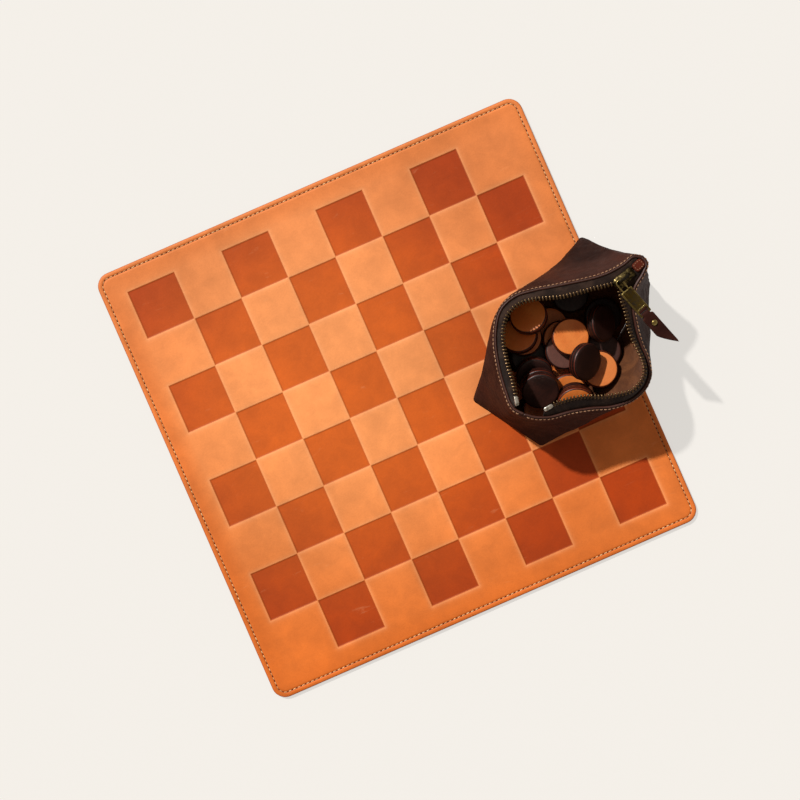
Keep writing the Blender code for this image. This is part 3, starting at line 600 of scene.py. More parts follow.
def lathe(name, profile, spokes, materials, place=None, body=None):
    """A turned solid from (radius, height) pairs that start and end on the axis."""
    points = [(0.0, 0.0, profile[0][1])]
    inner = profile[1:-1]
    for radius, height in inner:
        for k in range(spokes):
            angle = 2 * math.pi * k / spokes
            points.append((radius * math.cos(angle), radius * math.sin(angle), height))
    points.append((0.0, 0.0, profile[-1][1]))
    faces = [tuple(1 + i for i in f) for f in strips(len(inner), spokes, True)]
    last = len(points) - 1
    base = 1 + (len(inner) - 1) * spokes
    for k in range(spokes):
        j = (k + 1) % spokes
        faces.append((0, 1 + j, 1 + k))
        faces.append((base + k, base + j, last))
    return solid(name, points, faces, materials, None, place, body)


def section(width, height, corner, steps=3):
    """A rounded rectangle of (across, up) pairs."""
    points = []
    for quarter in range(4):
        centre_u = (width / 2 - corner) * (1 if quarter in (0, 3) else -1)
        centre_v = (height / 2 - corner) * (1 if quarter in (0, 1) else -1)
        for step in range(steps + 1):
            angle = math.radians(90 * quarter + 90 * step / steps)
            points.append((centre_u + corner * math.cos(angle), centre_v + corner * math.sin(angle)))
    return points


def layers(outline, levels, along_x=0.0):
    """An outline at each of some (share of its size, height) levels, moved along X."""
    return [[(along_x + x * share, y * share, height) for x, y in outline] for share, height in levels]


def sweep(path, shape, up=(0, 0, 1)):
    """Loops of a shape carried along a path; up is the way the shape's second axis leans."""
    path = np.asarray(path, float)
    tangent = np.gradient(path, axis=0)
    tangent /= np.linalg.norm(tangent, axis=1)[:, None]
    ups = np.broadcast_to(np.asarray(up, float), path.shape)
    across = np.cross(ups, tangent)
    across /= np.linalg.norm(across, axis=1)[:, None]
    lift = np.cross(tangent, across)
    return [
        np.array([p + a * u + n * v for u, v in shape])
        for p, a, n in zip(path, across, lift)
    ]


def joined(name, pieces, body=None):
    """Several objects as one, keeping their materials."""
    bpy.ops.object.select_all(action="DESELECT")
    for piece in pieces:
        piece.select_set(True)
    bpy.context.view_layer.objects.active = pieces[0]
    bpy.ops.object.join()
    made = bpy.context.view_layer.objects.active
    made.name = name
    made.data.name = name
    if body:
        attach(made, body)
    return made


def worn_edges(made, width=0.25, segments=2, angle=35.0):
    """Rounds an object's sharp edges and marks the points on them as worn."""
    work = bmesh.new()
    work.from_mesh(made.data)
    least = math.radians(angle)
    sharp = [e for e in work.edges if len(e.link_faces) == 2 and e.calc_face_angle(0.0) > least]
    bmesh.ops.bevel(
        work, geom=sharp, offset=width * MM, segments=segments, affect="EDGES", profile=0.6,
        clamp_overlap=True,
    )
    work.to_mesh(made.data)
    work.free()
    made.data.polygons.foreach_set("use_smooth", [True] * len(made.data.polygons))
    mark_wear(made)


def mark_wear(made, most=1.0):
    """Wear is highest where a mesh turns outwards."""
    work = bmesh.new()
    work.from_mesh(made.data)
    work.normal_update()
    wear = []
    for vertex in work.verts:
        turn = 0.0
        for edge in vertex.link_edges:
            if len(edge.link_faces) == 2 and edge.is_convex:
                turn = max(turn, edge.calc_face_angle(0.0))
        wear.append(most * min(1.0, turn / 0.7))
    work.free()
    give(made, "wear", wear)


def cut_with(made, *cutters):
    """Cuts boxes or solids from a mesh and throws them away."""
    for cutter in cutters:
        step = made.modifiers.new("cut", "BOOLEAN")
        step.object = cutter
        step.solver = "EXACT"
    graph = bpy.context.evaluated_depsgraph_get()
    mesh = bpy.data.meshes.new_from_object(made.evaluated_get(graph))
    made.modifiers.clear()
    made.data = mesh
    for cutter in cutters:
        bpy.data.objects.remove(cutter)


# ---------------------------------------------------------------- mat

def nearest_dark(x, y):
    """The distance from a point on the board to the nearest dark square; below zero inside one."""
    best = 1e9
    column = math.floor((x + HALF_BOARD) / SQUARE)
    row = math.floor((y + HALF_BOARD) / SQUARE)
    for r in range(max(0, row - 1), min(8, row + 2)):
        for c in range(max(0, column - 1), min(8, column + 2)):
            if (r + c) % 2 == 0:
                continue
            away_x = abs(x - (c - 3.5) * SQUARE) - SQUARE / 2 + DEBOSS_INSET
            away_y = abs(y - (r - 3.5) * SQUARE) - SQUARE / 2 + DEBOSS_INSET
            if away_x <= 0 and away_y <= 0:
                return max(away_x, away_y)
            best = min(best, math.hypot(max(away_x, 0.0), max(away_y, 0.0)))
    return best


def deboss(distance):
    """The height of the board at a distance from a dark square: a steep wall and a soft shoulder."""
    if distance <= -DEBOSS_RUN:
        return -DEBOSS
    if distance < DEBOSS_RUN:
        t = (distance + DEBOSS_RUN) / (2 * DEBOSS_RUN)
        return -DEBOSS + (DEBOSS - SHOULDER_DIP) * t * t * (3 - 2 * t)
    return -SHOULDER_DIP * math.exp(-(distance - DEBOSS_RUN) / SHOULDER_FADE)


def corner_point(value, index, half, corner, knee):
    """A point of a rounded square, from a point (side index, place along it) of the inner square."""
    start = half - corner
    sign = 1.0 if value >= 0 else -1.0
    size = abs(value)
    inner = HALF_GRID - knee
    if size <= knee:
        across, out = size, half
    else:
        walk = (size - knee) / inner * ((start - knee) + corner * math.pi / 4)
        if walk <= start - knee or corner <= 0:
            across, out = knee + walk, half
        else:
            angle = (walk - (start - knee)) / corner
            across, out = start + corner * math.sin(angle), start + corner * math.cos(angle)
    across *= sign
    return ((out, across), (-across, out), (-out, -across), (across, -out))[index]


def grid_lines():
    """Where the mat's mesh is cut: close together by the squares' edges, and at the knees of its corners."""
    steps = (0.0, 0.3, 0.6, 1.0, 1.7, 2.8, 4.6, 7.5, 12.5, 17.5)
    lines = set()
    for k in range(9):
        line = (k - 4) * SQUARE
        for step in steps:
            for sign in (1, -1):
                spot = round(line + sign * step, 3)
                if abs(spot) < KNEE or (abs(spot) < HALF_GRID and step < 5 and abs(line) > KNEE):
                    lines.add(spot)
    for value in (KNEE, 171.6, 181.6, HALF_GRID):
        lines.update((value, -value))
    lines = sorted(lines)
    kept = [lines[0]]
    for value in lines[1:]:
        if value - kept[-1] > 0.2:
            kept.append(value)
    return kept


def rounded_slab(name, ring_shapes, lines, inner_height, materials, body):
    """A slab: a grid of points on its top, then rings of (half size, height), then its underside."""
    points = [(x, y, inner_height(x, y)) for y in lines for x in lines]
    size = len(lines)
    faces = strips(size, size, False)
    places = np.array(lines)
    border = []
    spots = []
    for index in range(4):
        for value in lines[:-1]:
            spots.append((value, index))
            x, y = corner_point(value, index, HALF_GRID, 0.0, KNEE)
            border.append(int(np.argmin(abs(places - y))) * size + int(np.argmin(abs(places - x))))
    previous = border
    for half, height in ring_shapes:
        corner = max(0.0, MAT_CORNER - (MAT_HALF - half))
        first = len(points)
        for value, index in spots:
            points.append((*corner_point(value, index, half, corner, KNEE), height))
        current = list(range(first, len(points)))
        for j in range(len(current)):
            faces.append((previous[j - 1], previous[j], current[j], current[j - 1]))
        previous = current
    points.append((0.0, 0.0, ring_shapes[-1][1]))
    last = len(points) - 1
    for j in range(len(previous)):
        faces.append((previous[j], previous[(j + 1) % len(previous)], last))
    return solid(name, points, faces, materials, None, None, body), np.array(points)


def mat_height(x, y):
    """The height of the mat's top: its squares, a slow swell and a pebbled grain."""
    distance = nearest_dark(x, y)
    puff = 0.1 * noise.noise(Vector((x * 0.02, y * 0.02, 0.3)))
    pebble = 0.05 * noise.noise(Vector((x * 0.09, y * 0.09, 1.7)))
    return MAT_TOP - 0.12 + deboss(distance) + puff + pebble


def build_mat():
    # From the grid out over the stitch groove to the rounded edge, then round it to the underside.
    drops = (
        (187.0, 0.1), (190.5, 0.06), (193.2, 0.03), (194.3, 0.08), (194.8, 0.35), (195.1, 0.6),
        (STITCH_LINE, 0.7), (195.9, 0.6), (196.2, 0.35), (196.7, 0.08), (197.8, 0.05), (198.8, 0.18),
        (199.5, 0.5), (199.9, 0.95), (MAT_HALF, 1.4),
    )
    rings = [(half, MAT_TOP - drop) for half, drop in drops]
    rings += [(half, MAT_FLOOR + rise) for half, rise in ((199.8, 0.35), (199.4, 0.08), (198.6, 0), (150.0, 0))]
    lines = grid_lines()
    top, points = rounded_slab("mat_top_leather", rings, lines, mat_height, [mat_leather()], "mat")
    marks = {"dark": [], "shoulder": [], "crease": [], "margin": [], "edge": []}
    for x, y, z in points:
        on_top = max(abs(x), abs(y)) < HALF_GRID + 0.1 and z > 3.0
        distance = nearest_dark(x, y) if on_top else 9.0
        marks["dark"].append(min(1.0, max(0.0, 0.5 - distance / 0.7)))
        # The shoulder mark places the painted highlight round the dark squares, and the crease mark places the
        # painted shade along their walls.
        marks["shoulder"].append(math.exp(-(distance - 0.7) / 1.3) if distance > 0.7 else 0.0)
        marks["crease"].append(math.exp(-((distance + 0.2) / 0.5) ** 2))
        beyond = max(abs(x), abs(y)) - HALF_BOARD
        marks["margin"].append(min(1.0, max(0.0, beyond / 14.0)))
        drop = 0.0 if on_top else MAT_TOP - z
        marks["edge"].append(1.0 if drop > 0.85 else 0.35 if drop > 0.4 else 0.0)
    for mark, values in marks.items():
        give(top, mark, values)
    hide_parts("mat_top")

    low = [
        (192.0, BACKING_TOP), (198.4, BACKING_TOP), (199.1, BACKING_TOP - 0.15), (199.4, BACKING_TOP - 0.6),
        (199.4, 0.6), (199.1, 0.15), (198.5, 0.0), (150.0, 0.0),
    ]
    coarse = [v for v in lines if abs(v) >= KNEE or abs(v) < 1]
    backing, _ = rounded_slab(
        "mat_backing_leather", low, coarse, lambda x, y: BACKING_TOP, [flesh_side()], "mat"
    )
    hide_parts("mat_backing")

    route = []
    count = 400
    for index in range(4):
        for k in range(count):
            value = -HALF_GRID + 2 * HALF_GRID * k / count
            x, y = corner_point(value, index, STITCH_LINE, MAT_CORNER - 4.5, KNEE)
            route.append((x, y, MAT_TOP - 0.62))
    route.append(route[0])
    ups = np.tile([0.0, 0.0, 1.0], (len(route), 1))
    thread = stitches(
        "mat_thread", np.array(route), ups, STITCH_PITCH, 3.1, 0.85, 7.0, 0.1, THREAD_TAN,
        Matrix.Identity(4), "mat", HOLE_SHADE, 0.62,
    )
    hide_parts("mat_stitching")


def walk(line, ups, pitch):
    """Evenly spaced places along a line: point, forward and up."""
    lengths = lengths_of(line)
    count = max(1, int(round(lengths[-1] / pitch)))
    tangent = np.gradient(line, axis=0)
    for k in range(count):
        at = lengths[-1] * (k + 0.5) / count
        spot, ahead, up = (
            np.array([np.interp(at, lengths, values[:, i]) for i in range(3)])
            for values in (line, tangent, ups)
        )
        ahead /= np.linalg.norm(ahead)
        up -= ahead * (up @ ahead)
        up /= np.linalg.norm(up)
        yield spot, ahead, up


def stitches(
    name, line, ups, pitch, length, width, slant, rise, material, place, body, hole_shade=None, hole_size=0.5
):
    """A row of stitches: short plump threads whose ends dive into their holes, and, where a hole material is
    given, a dark disc in each hole as painted shade.
    """
    points = []
    faces = []
    slots = []
    turn = math.radians(slant)
    sides = 7
    stations = 8
    for number, (spot, ahead, up) in enumerate(walk(line, ups, pitch)):
        across = np.cross(up, ahead)
        jitter = 0.03 * math.sin(number * 12.9898)
        way = ahead * math.cos(turn + jitter) + across * math.sin(turn + jitter)
        side = np.cross(up, way)
        first = len(points)
        for i in range(stations):
            u = -1 + 2 * i / (stations - 1)
            swell = max(0.18, (1 - abs(u) ** 3.2)) ** 0.5
            centre = spot + way * (u * length / 2) + up * (rise - 0.75 * width * abs(u) ** 3.5)
            for j in range(sides):
                angle = 2 * math.pi * j / sides
                out = side * math.cos(angle) + up * 0.85 * math.sin(angle)
                points.append(centre + out * width / 2 * swell)
        faces += strips(stations, sides, True, first)
        slots += [0] * ((stations - 1) * sides)
        faces += [cap(first, sides), cap(first + (stations - 1) * sides, sides)]
        slots += [0, 0]
        # A dark disc sunk into each hole, as painted shade.
        if hole_shade is not None:
            centre = spot + ahead * pitch / 2
            first = len(points)
            for level in (0.05, -0.25):
                for j in range(8):
                    angle = 2 * math.pi * j / 8
                    out = ahead * 1.2 * math.cos(angle) + across * math.sin(angle)
                    points.append(centre + out * hole_size + up * level)
            faces += strips(2, 8, True, first) + [cap(first, 8), cap(first + 8, 8)]
            slots += [1] * 10
    return solid(name, points, faces, [material] + ([hole_shade] if hole_shade else []), slots, place, body)


# ---------------------------------------------------------------- pouch

def smooth_line(points, per_span=24):
    """A dense smooth line through points (Catmull-Rom, spaced by the chord's square root)."""
    points = np.array(points, dtype=float)
    ends = [2 * points[0] - points[1], *points, 2 * points[-1] - points[-2]]
    line = []
    for i in range(1, len(ends) - 2):
        p0, p1, p2, p3 = ends[i - 1 : i + 3]
        t1 = np.linalg.norm(p1 - p0) ** 0.5
        t2 = t1 + np.linalg.norm(p2 - p1) ** 0.5
        t3 = t2 + np.linalg.norm(p3 - p2) ** 0.5
        for t in np.linspace(t1, t2, per_span, endpoint=False):
            a1 = p0 + (p1 - p0) * (t / t1)
            a2 = p1 + (p2 - p1) * ((t - t1) / (t2 - t1))
            a3 = p2 + (p3 - p2) * ((t - t2) / (t3 - t2))
            b1 = a1 + (a2 - a1) * (t / t2)
            b2 = a2 + (a3 - a2) * ((t - t1) / (t3 - t1))
            line.append(b1 + (b2 - b1) * ((t - t1) / (t2 - t1)))
    line.append(points[-1])
    return np.array(line)


def lengths_of(line):
    return np.concatenate([[0.0], np.cumsum(np.linalg.norm(np.diff(line, axis=0), axis=1))])


def along(line, shares):
    """Points at shares (0 to 1) of a line's length."""
    lengths = lengths_of(line)
    at = np.asarray(shares) * lengths[-1]
    return np.stack([np.interp(at, lengths, line[:, k]) for k in range(3)], axis=1)


def foot_line(side):
    """Half of the foot's outline, from the open end's seam to the closed end's, on one side (+1 or -1)."""
    half_length = FOOT_LENGTH / 2
    half_width = FOOT_WIDTH / 2
    straight = half_length - FOOT_CORNER

    def corner(a, start):
        turns = [math.radians(start - 15 * step) for step in range(7)]
        b = half_width - FOOT_CORNER
        return [(a + FOOT_CORNER * math.cos(t), b + FOOT_CORNER * math.sin(t), 0.0) for t in turns]

    points = [(-half_length, 0.0, 0.0), *corner(-straight, 180)]
    for step in range(1, 16):
        a = -straight + 2 * straight * step / 16
        points.append((a, half_width + FOOT_BOW * math.cos(a / straight * math.pi / 2), 0.0))
    points += [*corner(straight, 90), (half_length, 0.0, 0.0)]
    line = np.array(points)
    line[:, 1] *= side
    return line


def outward(line, side):
    """Level unit vectors square to a line and away from the mouth."""
    tangent = np.gradient(line, axis=0)
    square = np.stack([-tangent[:, 1], tangent[:, 0], np.zeros(len(line))], axis=1) * side
    return square / np.linalg.norm(square, axis=1)[:, None]


def respaced(rows, count):
    """The rows joined by smooth curves and cut again into count rows."""
    ends = np.concatenate([[2 * rows[0] - rows[1]], rows, [2 * rows[-1] - rows[-2]]])
    made = []
    for at in np.linspace(0, len(rows) - 1, count):
        i = min(int(at), len(rows) - 2)
        t = at - i
        p0, p1, p2, p3 = ends[i : i + 4]
        cubic = 2 * p0 - 5 * p1 + 4 * p2 - p3 + t * (3 * (p1 - p2) + p3 - p0)
        made.append(p1 + 0.5 * t * (p2 - p0 + t * cubic))
    return np.array(made)


def wall_rows(side):
    """The outer surface of one panel: rows from the foot to the cut edge, each a line of points."""
    left = (LEFT_EDGE, LEFT_FOLDS, LEFT_BULGE)
    edge_points, folds, bulge = left if side > 0 else (RIGHT_EDGE, RIGHT_FOLDS, RIGHT_BULGE)
    foot = foot_line(side)
    edge = smooth_line([OPEN_END, *edge_points, CLOSED_END])
    foot_length = lengths_of(foot)[-1]
    fold_share = FOOT_WIDTH / 2 / foot_length
    half_turn = FOOT_CORNER * math.pi / 4 / foot_length
    foot_knots = [0, fold_share, 1 - fold_share - half_turn, 1 - fold_share + half_turn, 1]
    dense = np.linspace(0.0, 1.0, 40 * COLUMNS)
    balance = (dense + np.interp(dense, [0, *folds, 1], foot_knots)) / 2
    shares = np.interp(np.linspace(0.0, 1.0, COLUMNS), balance, dense)
    foot_shares = np.interp(shares, [0, *folds, 1], foot_knots)
    foot_row = along(foot, foot_shares)
    edge_row = along(edge, shares)
    away = outward(edge_row, side)
    for step in range(SEAM_BLEND):
        share = step / SEAM_BLEND
        for column, end in ((step, -1.0), (-1 - step, 1.0)):
            turned = away[column] * share + np.array([end, 0.0, 0.0]) * (1 - share)
            away[column] = turned / np.linalg.norm(turned)
    shoulder = edge_row + away * SHOULDER_OUT
    shoulder[:, 2] -= SHOULDER_DROP
    swell = np.sin(np.pi * np.clip((shares - folds[0]) / (folds[1] - folds[0]), 0, 1)) ** 1.5 * bulge
    rows = []
    lean = np.array([0.0, side, 0.0])
    for height in WALL_HEIGHTS:
        row = foot_row + (shoulder - foot_row) * height
        rows.append(row + lean * (swell * math.sin(math.pi * height))[:, None])
    rows.append(edge_row)
    return respaced(np.array(rows), ROWS)


def normals_of(rows, side):
    """Unit vectors out of a panel, level along its foot and square to the seam at its two ends."""
    up = np.gradient(rows, axis=0)
    across = np.gradient(rows, axis=1)
    normal = np.cross(up, across) * side
    normal /= np.linalg.norm(normal, axis=2)[:, :, None]
    normal[0, :, 2] = 0.0
    for column in (0, -1):
        normal[:, column, 1] = 0.0
    return normal / np.linalg.norm(normal, axis=2)[:, :, None]


def dented(rows, side):
    """Soft hollows and creases pressed into a panel, none at its foot or rim."""
    normal = normals_of(rows, side)
    made = rows.copy()
    last = len(rows) - 1
    for i in range(1, last):
        t = i / last
        fade = min(1.0, t / 0.12) * min(1.0, (1 - t) / 0.2)
        for j in range(rows.shape[1]):
            spot = Vector(rows[i, j] * 0.032)
            deep = 1.1 * noise.noise(spot) + 0.45 * noise.noise(spot * 3.1) + 0.16 * noise.noise(spot * 8.0)
            made[i, j] += normal[i, j] * deep * fade
    return made


def build_panel(side, word):
    """One side panel of the pouch: grain side out, suede inside, with a thick cut edge at the mouth."""
    rows = dented(wall_rows(side), side)
    rows[:, :, 1][:, (0, -1)] += side * SEAM_GAP / 2
    normal = normals_of(rows, side)
    inner = rows - normal * LEATHER
    lip = rows[-1] - normal[-1] * EDGE_EASE
    inner_lip = rows[-1] - normal[-1] * (LEATHER - EDGE_EASE)
    rise = (rows[-1] - rows[-2]) / np.linalg.norm(rows[-1] - rows[-2], axis=1)[:, None]
    outer = rows.copy()
    for face in (outer, inner):
        face[-1] -= rise * EDGE_DROP
    loops = [[*outer[:, j], lip[j], inner_lip[j], *inner[::-1, j]] for j in range(COLUMNS)]
    length = len(loops[0])
    faces = strips(COLUMNS, length, True)
    kinds = [0] * (ROWS - 1) + [2] * 3 + [1] * (ROWS - 1) + [0]
    slots = [kinds[j] for _ in range(COLUMNS - 1) for j in range(length)]
    for first in (0, (COLUMNS - 1) * length):
        for i in range(ROWS):
            a = first + i
            b = first + length - 1 - i
            faces.append((a, a + 1, b - 1, b))
            slots.append(2)
    materials = [POUCH_LEATHER, SUEDE, RAW_EDGE]
    panel = solid("pouch_side_" + word, np.concatenate(loops), faces, materials, slots, POUCH, "pouch")
    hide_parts("pouch_panel_" + word)
    spot = ROWS - 4
    seam = rows[spot] + normal[spot] * 0.1
    thread = stitches(
        "rim_thread_" + word, seam[2:-2], normal[spot][2:-2], 3.45, 2.7, 0.95, 6.0, 0.3, THREAD_POUCH,
        POUCH, "pouch", HOLE_SHADE, 0.45,
    )
    return rows


def build_seam(rows, column, word):
    """The leather binding inside one end's seam, from the bottom panel to just under the tape."""
    line = rows[1 : ROWS - 12, column].copy()
    line[:, 0] -= math.copysign(LEATHER + 0.9, line[0, 0])
    line[0, 2] = LEATHER + 0.4
    loops = sweep(line, section(2.6, 0.8, 0.3), (1, 0, 0))
    seam = loft("seam_binding_" + word, loops, [SUEDE], POUCH, "pouch")


def build_foot():
    outline = []
    for side in (1, -1):
        line = along(foot_line(side), np.linspace(0, 1, 240))
        line = line - outward(line, side) * (LEATHER + FOOT_SEAM)
        outline.extend(line[1:-1] if side > 0 else line[-2:0:-1])
    outline = np.array(outline)
    loops = []
    for shrink, height in ((0.99, 0.0), (1.0, 0.3), (1.0, 1.7), (0.99, 2.0), (0.6, 2.05), (0.2, 2.0)):
        loop = outline * shrink
        loop[:, 2] = height
        loops.append(loop)
    foot = loft("pouch_bottom", loops, [SUEDE], POUCH, "pouch")
    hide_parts("pouch_foot")


def build_tape(side, word, rows):
    """One half of the zip's tape, lapped inside the panel's top and reaching to the teeth, with its bead."""
    teeth = smooth_line(LEFT_TEETH if side > 0 else RIGHT_TEETH)
    away = outward(teeth, side)
    reach = teeth + away * 0.9
    normal = normals_of(rows, side)
    lap = ROWS - 10
    inner = rows - normal * (LEATHER + TAPE_GAP + TAPE / 2)
    first = int(np.argmin(np.linalg.norm(rows[-1] - teeth[0], axis=1)))
    last = COLUMNS - 10
    near = [np.argmin(np.linalg.norm(teeth - point, axis=1)) for point in rows[-1][first : last + 1]]
    near = np.maximum.accumulate(np.array(near, dtype=float))
    wide = np.pad(near, TAPE_SMOOTH, mode="reflect", reflect_type="odd")
    window = 2 * TAPE_SMOOTH + 1
    spots = np.clip(np.convolve(wide, np.ones(window) / window, mode="valid"), 0, len(teeth) - 1)
    line = np.stack([np.interp(spots, np.arange(len(teeth)), reach[:, k]) for k in range(3)], axis=1)
    top = inner[-1, first : last + 1]
    lines = [inner[i, first : last + 1] for i in range(lap, ROWS)]
    crown = np.array([0.0, 0.0, 1.0])
    for t in (0.12, 0.28, 0.46, 0.64, 0.82, 1.0):
        lines.append(top + (line - top) * t + crown * 0.5 * math.sin(math.pi * t))
    grid = np.array(lines)
    up = np.gradient(grid, axis=0)
    across = np.gradient(grid, axis=1)
    thick = np.cross(up, across) * side
    thick /= np.linalg.norm(thick, axis=2)[:, :, None]
    upper = grid + thick * TAPE / 2
    lower = grid - thick * TAPE / 2
    count = grid.shape[1]
    loops = [np.concatenate([upper[:, j], lower[::-1, j]]) for j in range(count)]
    tape = loft("tape_" + word, loops, [ZIP_TAPE], POUCH, "pouch")
    run = lengths_of(line)
    steps = np.linalg.norm(np.diff(grid, axis=0), axis=2).mean(axis=1)
    height = np.concatenate([[0.0], np.cumsum(steps)])
    flow = [(run[j], h, 0.0) for j in range(count) for h in [*height, *height[::-1]]]
    give(tape, "flow", flow, "FLOAT_VECTOR")
    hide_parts("zip_tape_" + word)
    bead_path = teeth[::4] + away[::4] * 0.35
    cord = section(1.5, 1.7, 0.7)
    bead = loft("tape_bead_" + word, sweep(bead_path, cord), [ZIP_TAPE], POUCH, "pouch")
    flow = [(run, 0.3 * k, 0.0) for run in lengths_of(bead_path) for k in range(len(cord))]
    give(bead, "flow", flow, "FLOAT_VECTOR")
    return teeth


def tooth_shape():
    """One tooth of a metal zip: legs on the bead and a waisted head with a dimple's swell; head at -X."""
    outline = [
        (1.5, 0.62), (0.2, 0.7), (-0.6, 0.62), (-1.1, 0.8), (-1.75, 0.74), (-2.1, 0.4),
        (-2.1, -0.4), (-1.75, -0.74), (-1.1, -0.8), (-0.6, -0.62), (0.2, -0.7), (1.5, -0.62),
    ]
    rings = ((0.82, -1.28), (1.0, -1.05), (1.0, -0.3), (0.94, 0.0), (1.0, 0.3), (1.0, 1.05), (0.82, 1.28))
    return [np.array([(x * s - (1 - s) * 0.3, y * s, z) for x, y in outline]) for s, z in rings]


def build_teeth(side, word, teeth):
    lengths = lengths_of(teeth)
    total = lengths[-1]
    end_share = np.interp(TEETH_END_A, teeth[-40:, 0], np.linspace(1 - 39 / (len(teeth) - 1), 1, 40))
    count = int((total * end_share - STOP_LENGTH) / TOOTH_PITCH)
    places = (STOP_LENGTH + 0.3 + (np.arange(count) + 0.5) * TOOTH_PITCH) / total
    spots = along(teeth, places)
    away = outward(along(teeth, places), side)
    shape = tooth_shape()
    size = len(shape[0])
    points = []
    faces = []
    for spot, out in zip(spots, away):
        forward = np.array([-out[1], out[0], 0.0])
        first = len(points)
        for ring in shape:
            for x, y, z in ring:
                points.append(spot + out * x + forward * y + np.array([0.0, 0.0, z]))
        faces += strips(len(shape), size, True, first)
        faces += [cap(first, size), cap(first + (len(shape) - 1) * size, size)]
    row = solid("teeth_" + word, points, faces, [TEETH_BRASS], None, POUCH, "pouch")
    mark_wear(row, 0.7)
    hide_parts("zip_teeth_" + word)

    start, end = along(teeth, [0.4 / total, (STOP_LENGTH - 0.2) / total])
    path = [start + (end - start) * t for t in np.linspace(0, 1, 7)]
    loops = sweep(path, section(3.4, 2.9, 0.8, 4))
    for k, squeeze in ((0, 0.8), (-1, 0.8)):
        middle = loops[k].mean(axis=0)
        loops[k] = middle + (loops[k] - middle) * squeeze
    stop = loft("stop_" + word, loops, [BRIGHT], POUCH, "pouch")
    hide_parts("top_stop_" + word)


def zip_frame():
    turn = Matrix.Rotation(math.atan2(ZIP_AXIS.y, ZIP_AXIS.x), 4, "Z")
    return POUCH @ Matrix.Translation(SLIDER_NOSE * MM) @ turn


def build_tab():
    """The leather tab sewn over the closed end of the zip."""
    place = zip_frame() @ Matrix.Translation(Vector((25.2, 0, 1.75)) * MM)
    outline = section(9.6, 7.8, 2.2, 5)
    levels = ((0.35, -0.8), (0.94, -0.8), (1.0, -0.5), (1.0, 0.45), (0.93, 0.78), (0.5, 0.95), (0.15, 1.0))
    tab = loft("end_tab", layers(outline, levels), [TAB_LEATHER], place, "pouch")
    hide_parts("zip_end_tab")
    line = np.array(layers([*outline, outline[0]], [(0.72, 0.9)])[0])
    ups = np.tile([0.0, 0.0, 1.0], (len(line), 1))
    thread = stitches("tab_thread", line, ups, 2.3, 1.6, 0.5, 6.0, 0.05, THREAD_POUCH, place, "pouch")


def plate_loops(length, widths, low, high, edge=0.35, steps=9):
    """A plate along +X whose half width goes through the given values, with eased edges."""
    xs = np.linspace(0.0, 1.0, steps)
    halves = np.interp(xs, np.linspace(0, 1, len(widths)), widths)
    outline = [(length * x, h) for x, h in zip(xs, halves)]
    outline += [(length * x, -h) for x, h in zip(xs[::-1], halves[::-1])]
    middle = length / 2
    loops = []
    for inset, height in ((edge, low), (0.0, low + edge), (0.0, high - edge), (edge, high)):
        scale_x = 1 - inset / middle
        loops.append([
            (middle + (x - middle) * scale_x, math.copysign(max(0.05, abs(y) - inset), y), height)
            for x, y in outline
        ])
    return loops


def build_slider():
    place = zip_frame()
    low, high = SLIDER_CLEAR, SLIDER_CLEAR + SLIDER_PLATE
    widths = [3.4, 4.9, 5.3, 5.2, 4.7, 4.3, 4.1, 4.0, 3.8]
    top = loft("slider_top", plate_loops(SLIDER_LENGTH, widths, low, high), [SLIDER_BRASS])
    narrow = [w - 1.2 for w in widths]
    under = loft("slider_low", plate_loops(SLIDER_LENGTH - 1.0, narrow, -high, -low), [SLIDER_BRASS])
    rails = []
    for side in (1, -1):
        path = [(x, side * y, low - 0.35) for x, y in ((7.0, 4.7), (10.0, 4.2), (14.0, 3.95), (18.4, 3.7))]
        rails.append(loft("slider_rail", sweep(path, section(0.9, 1.5, 0.3)), [SLIDER_BRASS]))
    sunk = high - 0.3
    path = [(1.3, 0, z) for z in (-sunk, 0, sunk)]
    post = loft("slider_post", sweep(path, section(1.8, 2.0, 0.5), (1, 0, 0)), [SLIDER_BRASS])
    bar_z = high + BRIDGE_RISE + BRIDGE_THICK / 2

    def bend(leg, way):
        turns = [math.radians(90 * k / 5) for k in range(6)]
        start = bar_z - BRIDGE_CORNER
        return [
            (leg + way * BRIDGE_CORNER * (1 - math.cos(t)), 0, start + BRIDGE_CORNER * math.sin(t))
            for t in turns
        ]

    path = [
        (BRIDGE_NOSE_LEG, 0, sunk), *bend(BRIDGE_NOSE_LEG, 1),
        ((BRIDGE_NOSE_LEG + BRIDGE_TAIL_LEG) / 2, 0, bar_z),
        *reversed(bend(BRIDGE_TAIL_LEG, -1)), (BRIDGE_TAIL_LEG, 0, sunk),
    ]
    loops = sweep(path, section(BRIDGE_THICK, BRIDGE_WIDTH, 0.3), (0, 1, 0))
    bridge = loft("slider_bridge", loops, [SLIDER_BRASS])
    slider = joined("slider_body", [top, under, *rails, post, bridge])
    slider.matrix_world = place
    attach(slider, "slider")
    mark_wear(slider, 0.3)
    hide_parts("zip_slider")


def pull_frame():
    """The pull's frame: origin on the eye's cross wire, +X down the pull, +Z up from it."""
    leg = SLIDER_NOSE + ZIP_AXIS * BRIDGE_NOSE_LEG
    left = Vector((-ZIP_AXIS.y, ZIP_AXIS.x, 0))
    place = leg + left * EYE_OFFSET
    place.z += SLIDER_CLEAR + SLIDER_PLATE + EYE_RISE
    turn = Matrix.Rotation(PULL_YAW, 4, "Z") @ Matrix.Rotation(PULL_DROP, 4, "Y")
    return POUCH @ Matrix.Translation(place * MM) @ turn


